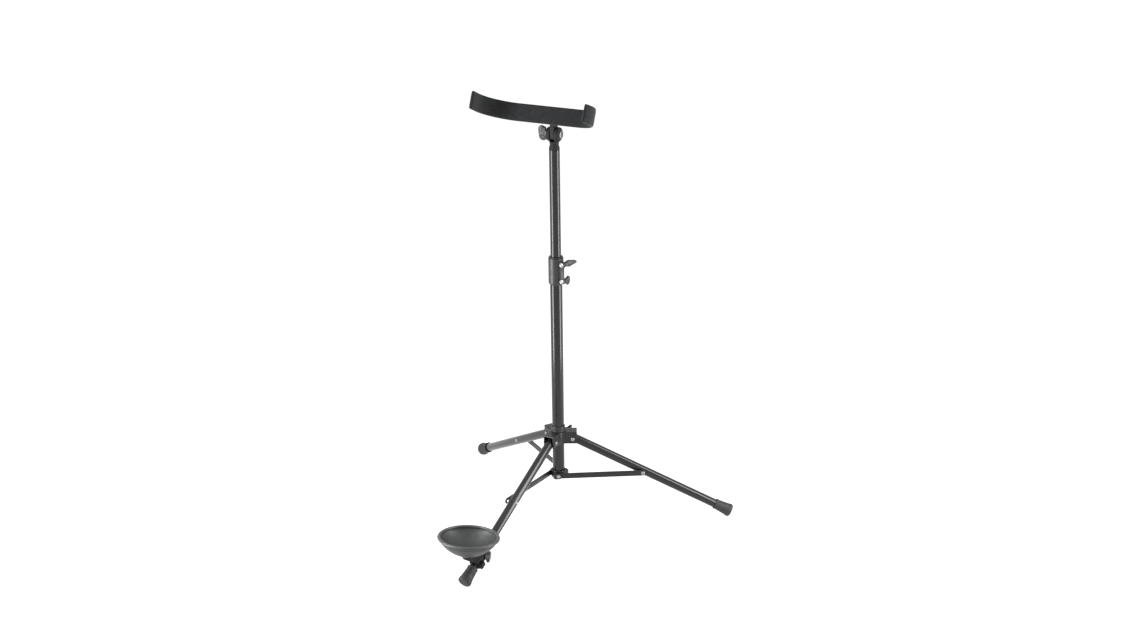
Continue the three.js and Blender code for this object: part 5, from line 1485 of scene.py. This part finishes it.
def add_softbox(scene, name, power, side, away, height, aim, wide, tall):
    """A softbox at a distance from the column, turned to face a height on it."""
    light = bpy.data.lights.new(name, "AREA")
    light.shape = "RECTANGLE"
    light.size, light.size_y, light.energy = wide * MM, tall * MM, power
    lamp = bpy.data.objects.new(name, light)
    scene.collection.objects.link(lamp)
    lamp.visible_camera = False
    out = np.array([math.cos(side), math.sin(side)])
    at = Vector([*(AXIS[:2] + out * away) * MM, height * MM])
    to = Vector([AXIS[0] * MM, AXIS[1] * MM, aim * MM])
    turned = (to - at).to_track_quat("-Z", "Y").to_matrix().to_4x4()
    lamp.matrix_world = Matrix.Translation(at) @ turned


def add_camera(scene, s):
    """The camera, level but for its roll, which looks down at the stand."""
    data = bpy.data.cameras.new("camera")
    data.lens, data.sensor_width = 60, 36       # mm
    camera = bpy.data.objects.new("camera", data)
    scene.collection.objects.link(camera)
    ahead = np.array([-0.01988, 0.93368, -0.35755])  # the direction in which it looks
    right = np.cross(ahead, [0, 0, 1])
    right /= np.linalg.norm(right)
    side = math.cos(s.roll) * right + math.sin(s.roll) * np.cross(right, ahead)
    place = np.eye(4)
    place[:3, :3] = np.column_stack([side, np.cross(side, ahead), -ahead])
    place[:3, 3] = (AXIS + [s.camera_x, s.camera_y, s.camera_z - AXIS[2]]) * MM
    camera.matrix_world = Matrix(place.tolist())
    scene.camera = camera


class STAND_OT_stage(Operator):
    """Pale floor, even studio light and the camera"""
    bl_idname = "stand.stage"
    bl_label = "Stage"

    def execute(self, context):
        s, scene = sizes("stand_stage"), context.scene
        scene.view_settings.view_transform = "Standard"
        add_floor(scene, s)
        add_world(scene, s)
        toward = math.atan2(s.camera_y, s.camera_x)
        strip = (s.strip_away, s.strip_tall / 2, s.strip_tall / 2, s.strip_wide, s.strip_tall)
        add_softbox(scene, "left", s.left, toward - s.left_side, *strip)
        add_softbox(scene, "right", s.right, toward + s.right_side, *strip)
        add_softbox(scene, "top", s.top, toward, s.top_away, s.top_height, s.top_aim, s.top_wide,
                    s.top_wide)
        add_camera(scene, s)
        return {"FINISHED"}


OPERATORS = (STAND_OT_stage, STAND_OT_tubes, STAND_OT_collar, STAND_OT_hub, STAND_OT_legs,
             STAND_OT_struts, STAND_OT_column_clamp, STAND_OT_tilt_joint, STAND_OT_rest, STAND_OT_cup)


class STAND_PT_pieces(Panel):
    """The stand's pieces and their sizes"""
    bl_idname = "STAND_PT_pieces"
    bl_label = "Instrument stand"
    bl_space_type = "VIEW_3D"
    bl_region_type = "UI"
    bl_category = "Stand"

    def draw(self, context):
        for operator in OPERATORS:
            self.layout.operator(operator.bl_idname)
        for name in SIZE_GROUPS:
            group = getattr(context.scene, name)
            box = self.layout.box()
            box.label(text=name.replace("_", " ").capitalize())
            for key in group.__annotations__:
                box.prop(group, key)


def register():
    for item in (*SIZE_GROUPS.values(), *OPERATORS, STAND_PT_pieces):
        bpy.utils.register_class(item)
    for name, group in SIZE_GROUPS.items():
        setattr(bpy.types.Scene, name, PointerProperty(type=group))


def unregister():
    for name in SIZE_GROUPS:
        delattr(bpy.types.Scene, name)
    for item in reversed((*SIZE_GROUPS.values(), *OPERATORS, STAND_PT_pieces)):
        bpy.utils.unregister_class(item)


def main():
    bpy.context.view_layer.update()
    register()
    for operator in OPERATORS:
        group, name = operator.bl_idname.split(".")
        getattr(getattr(bpy.ops, group), name)()


if __name__ == "__main__":
    main()
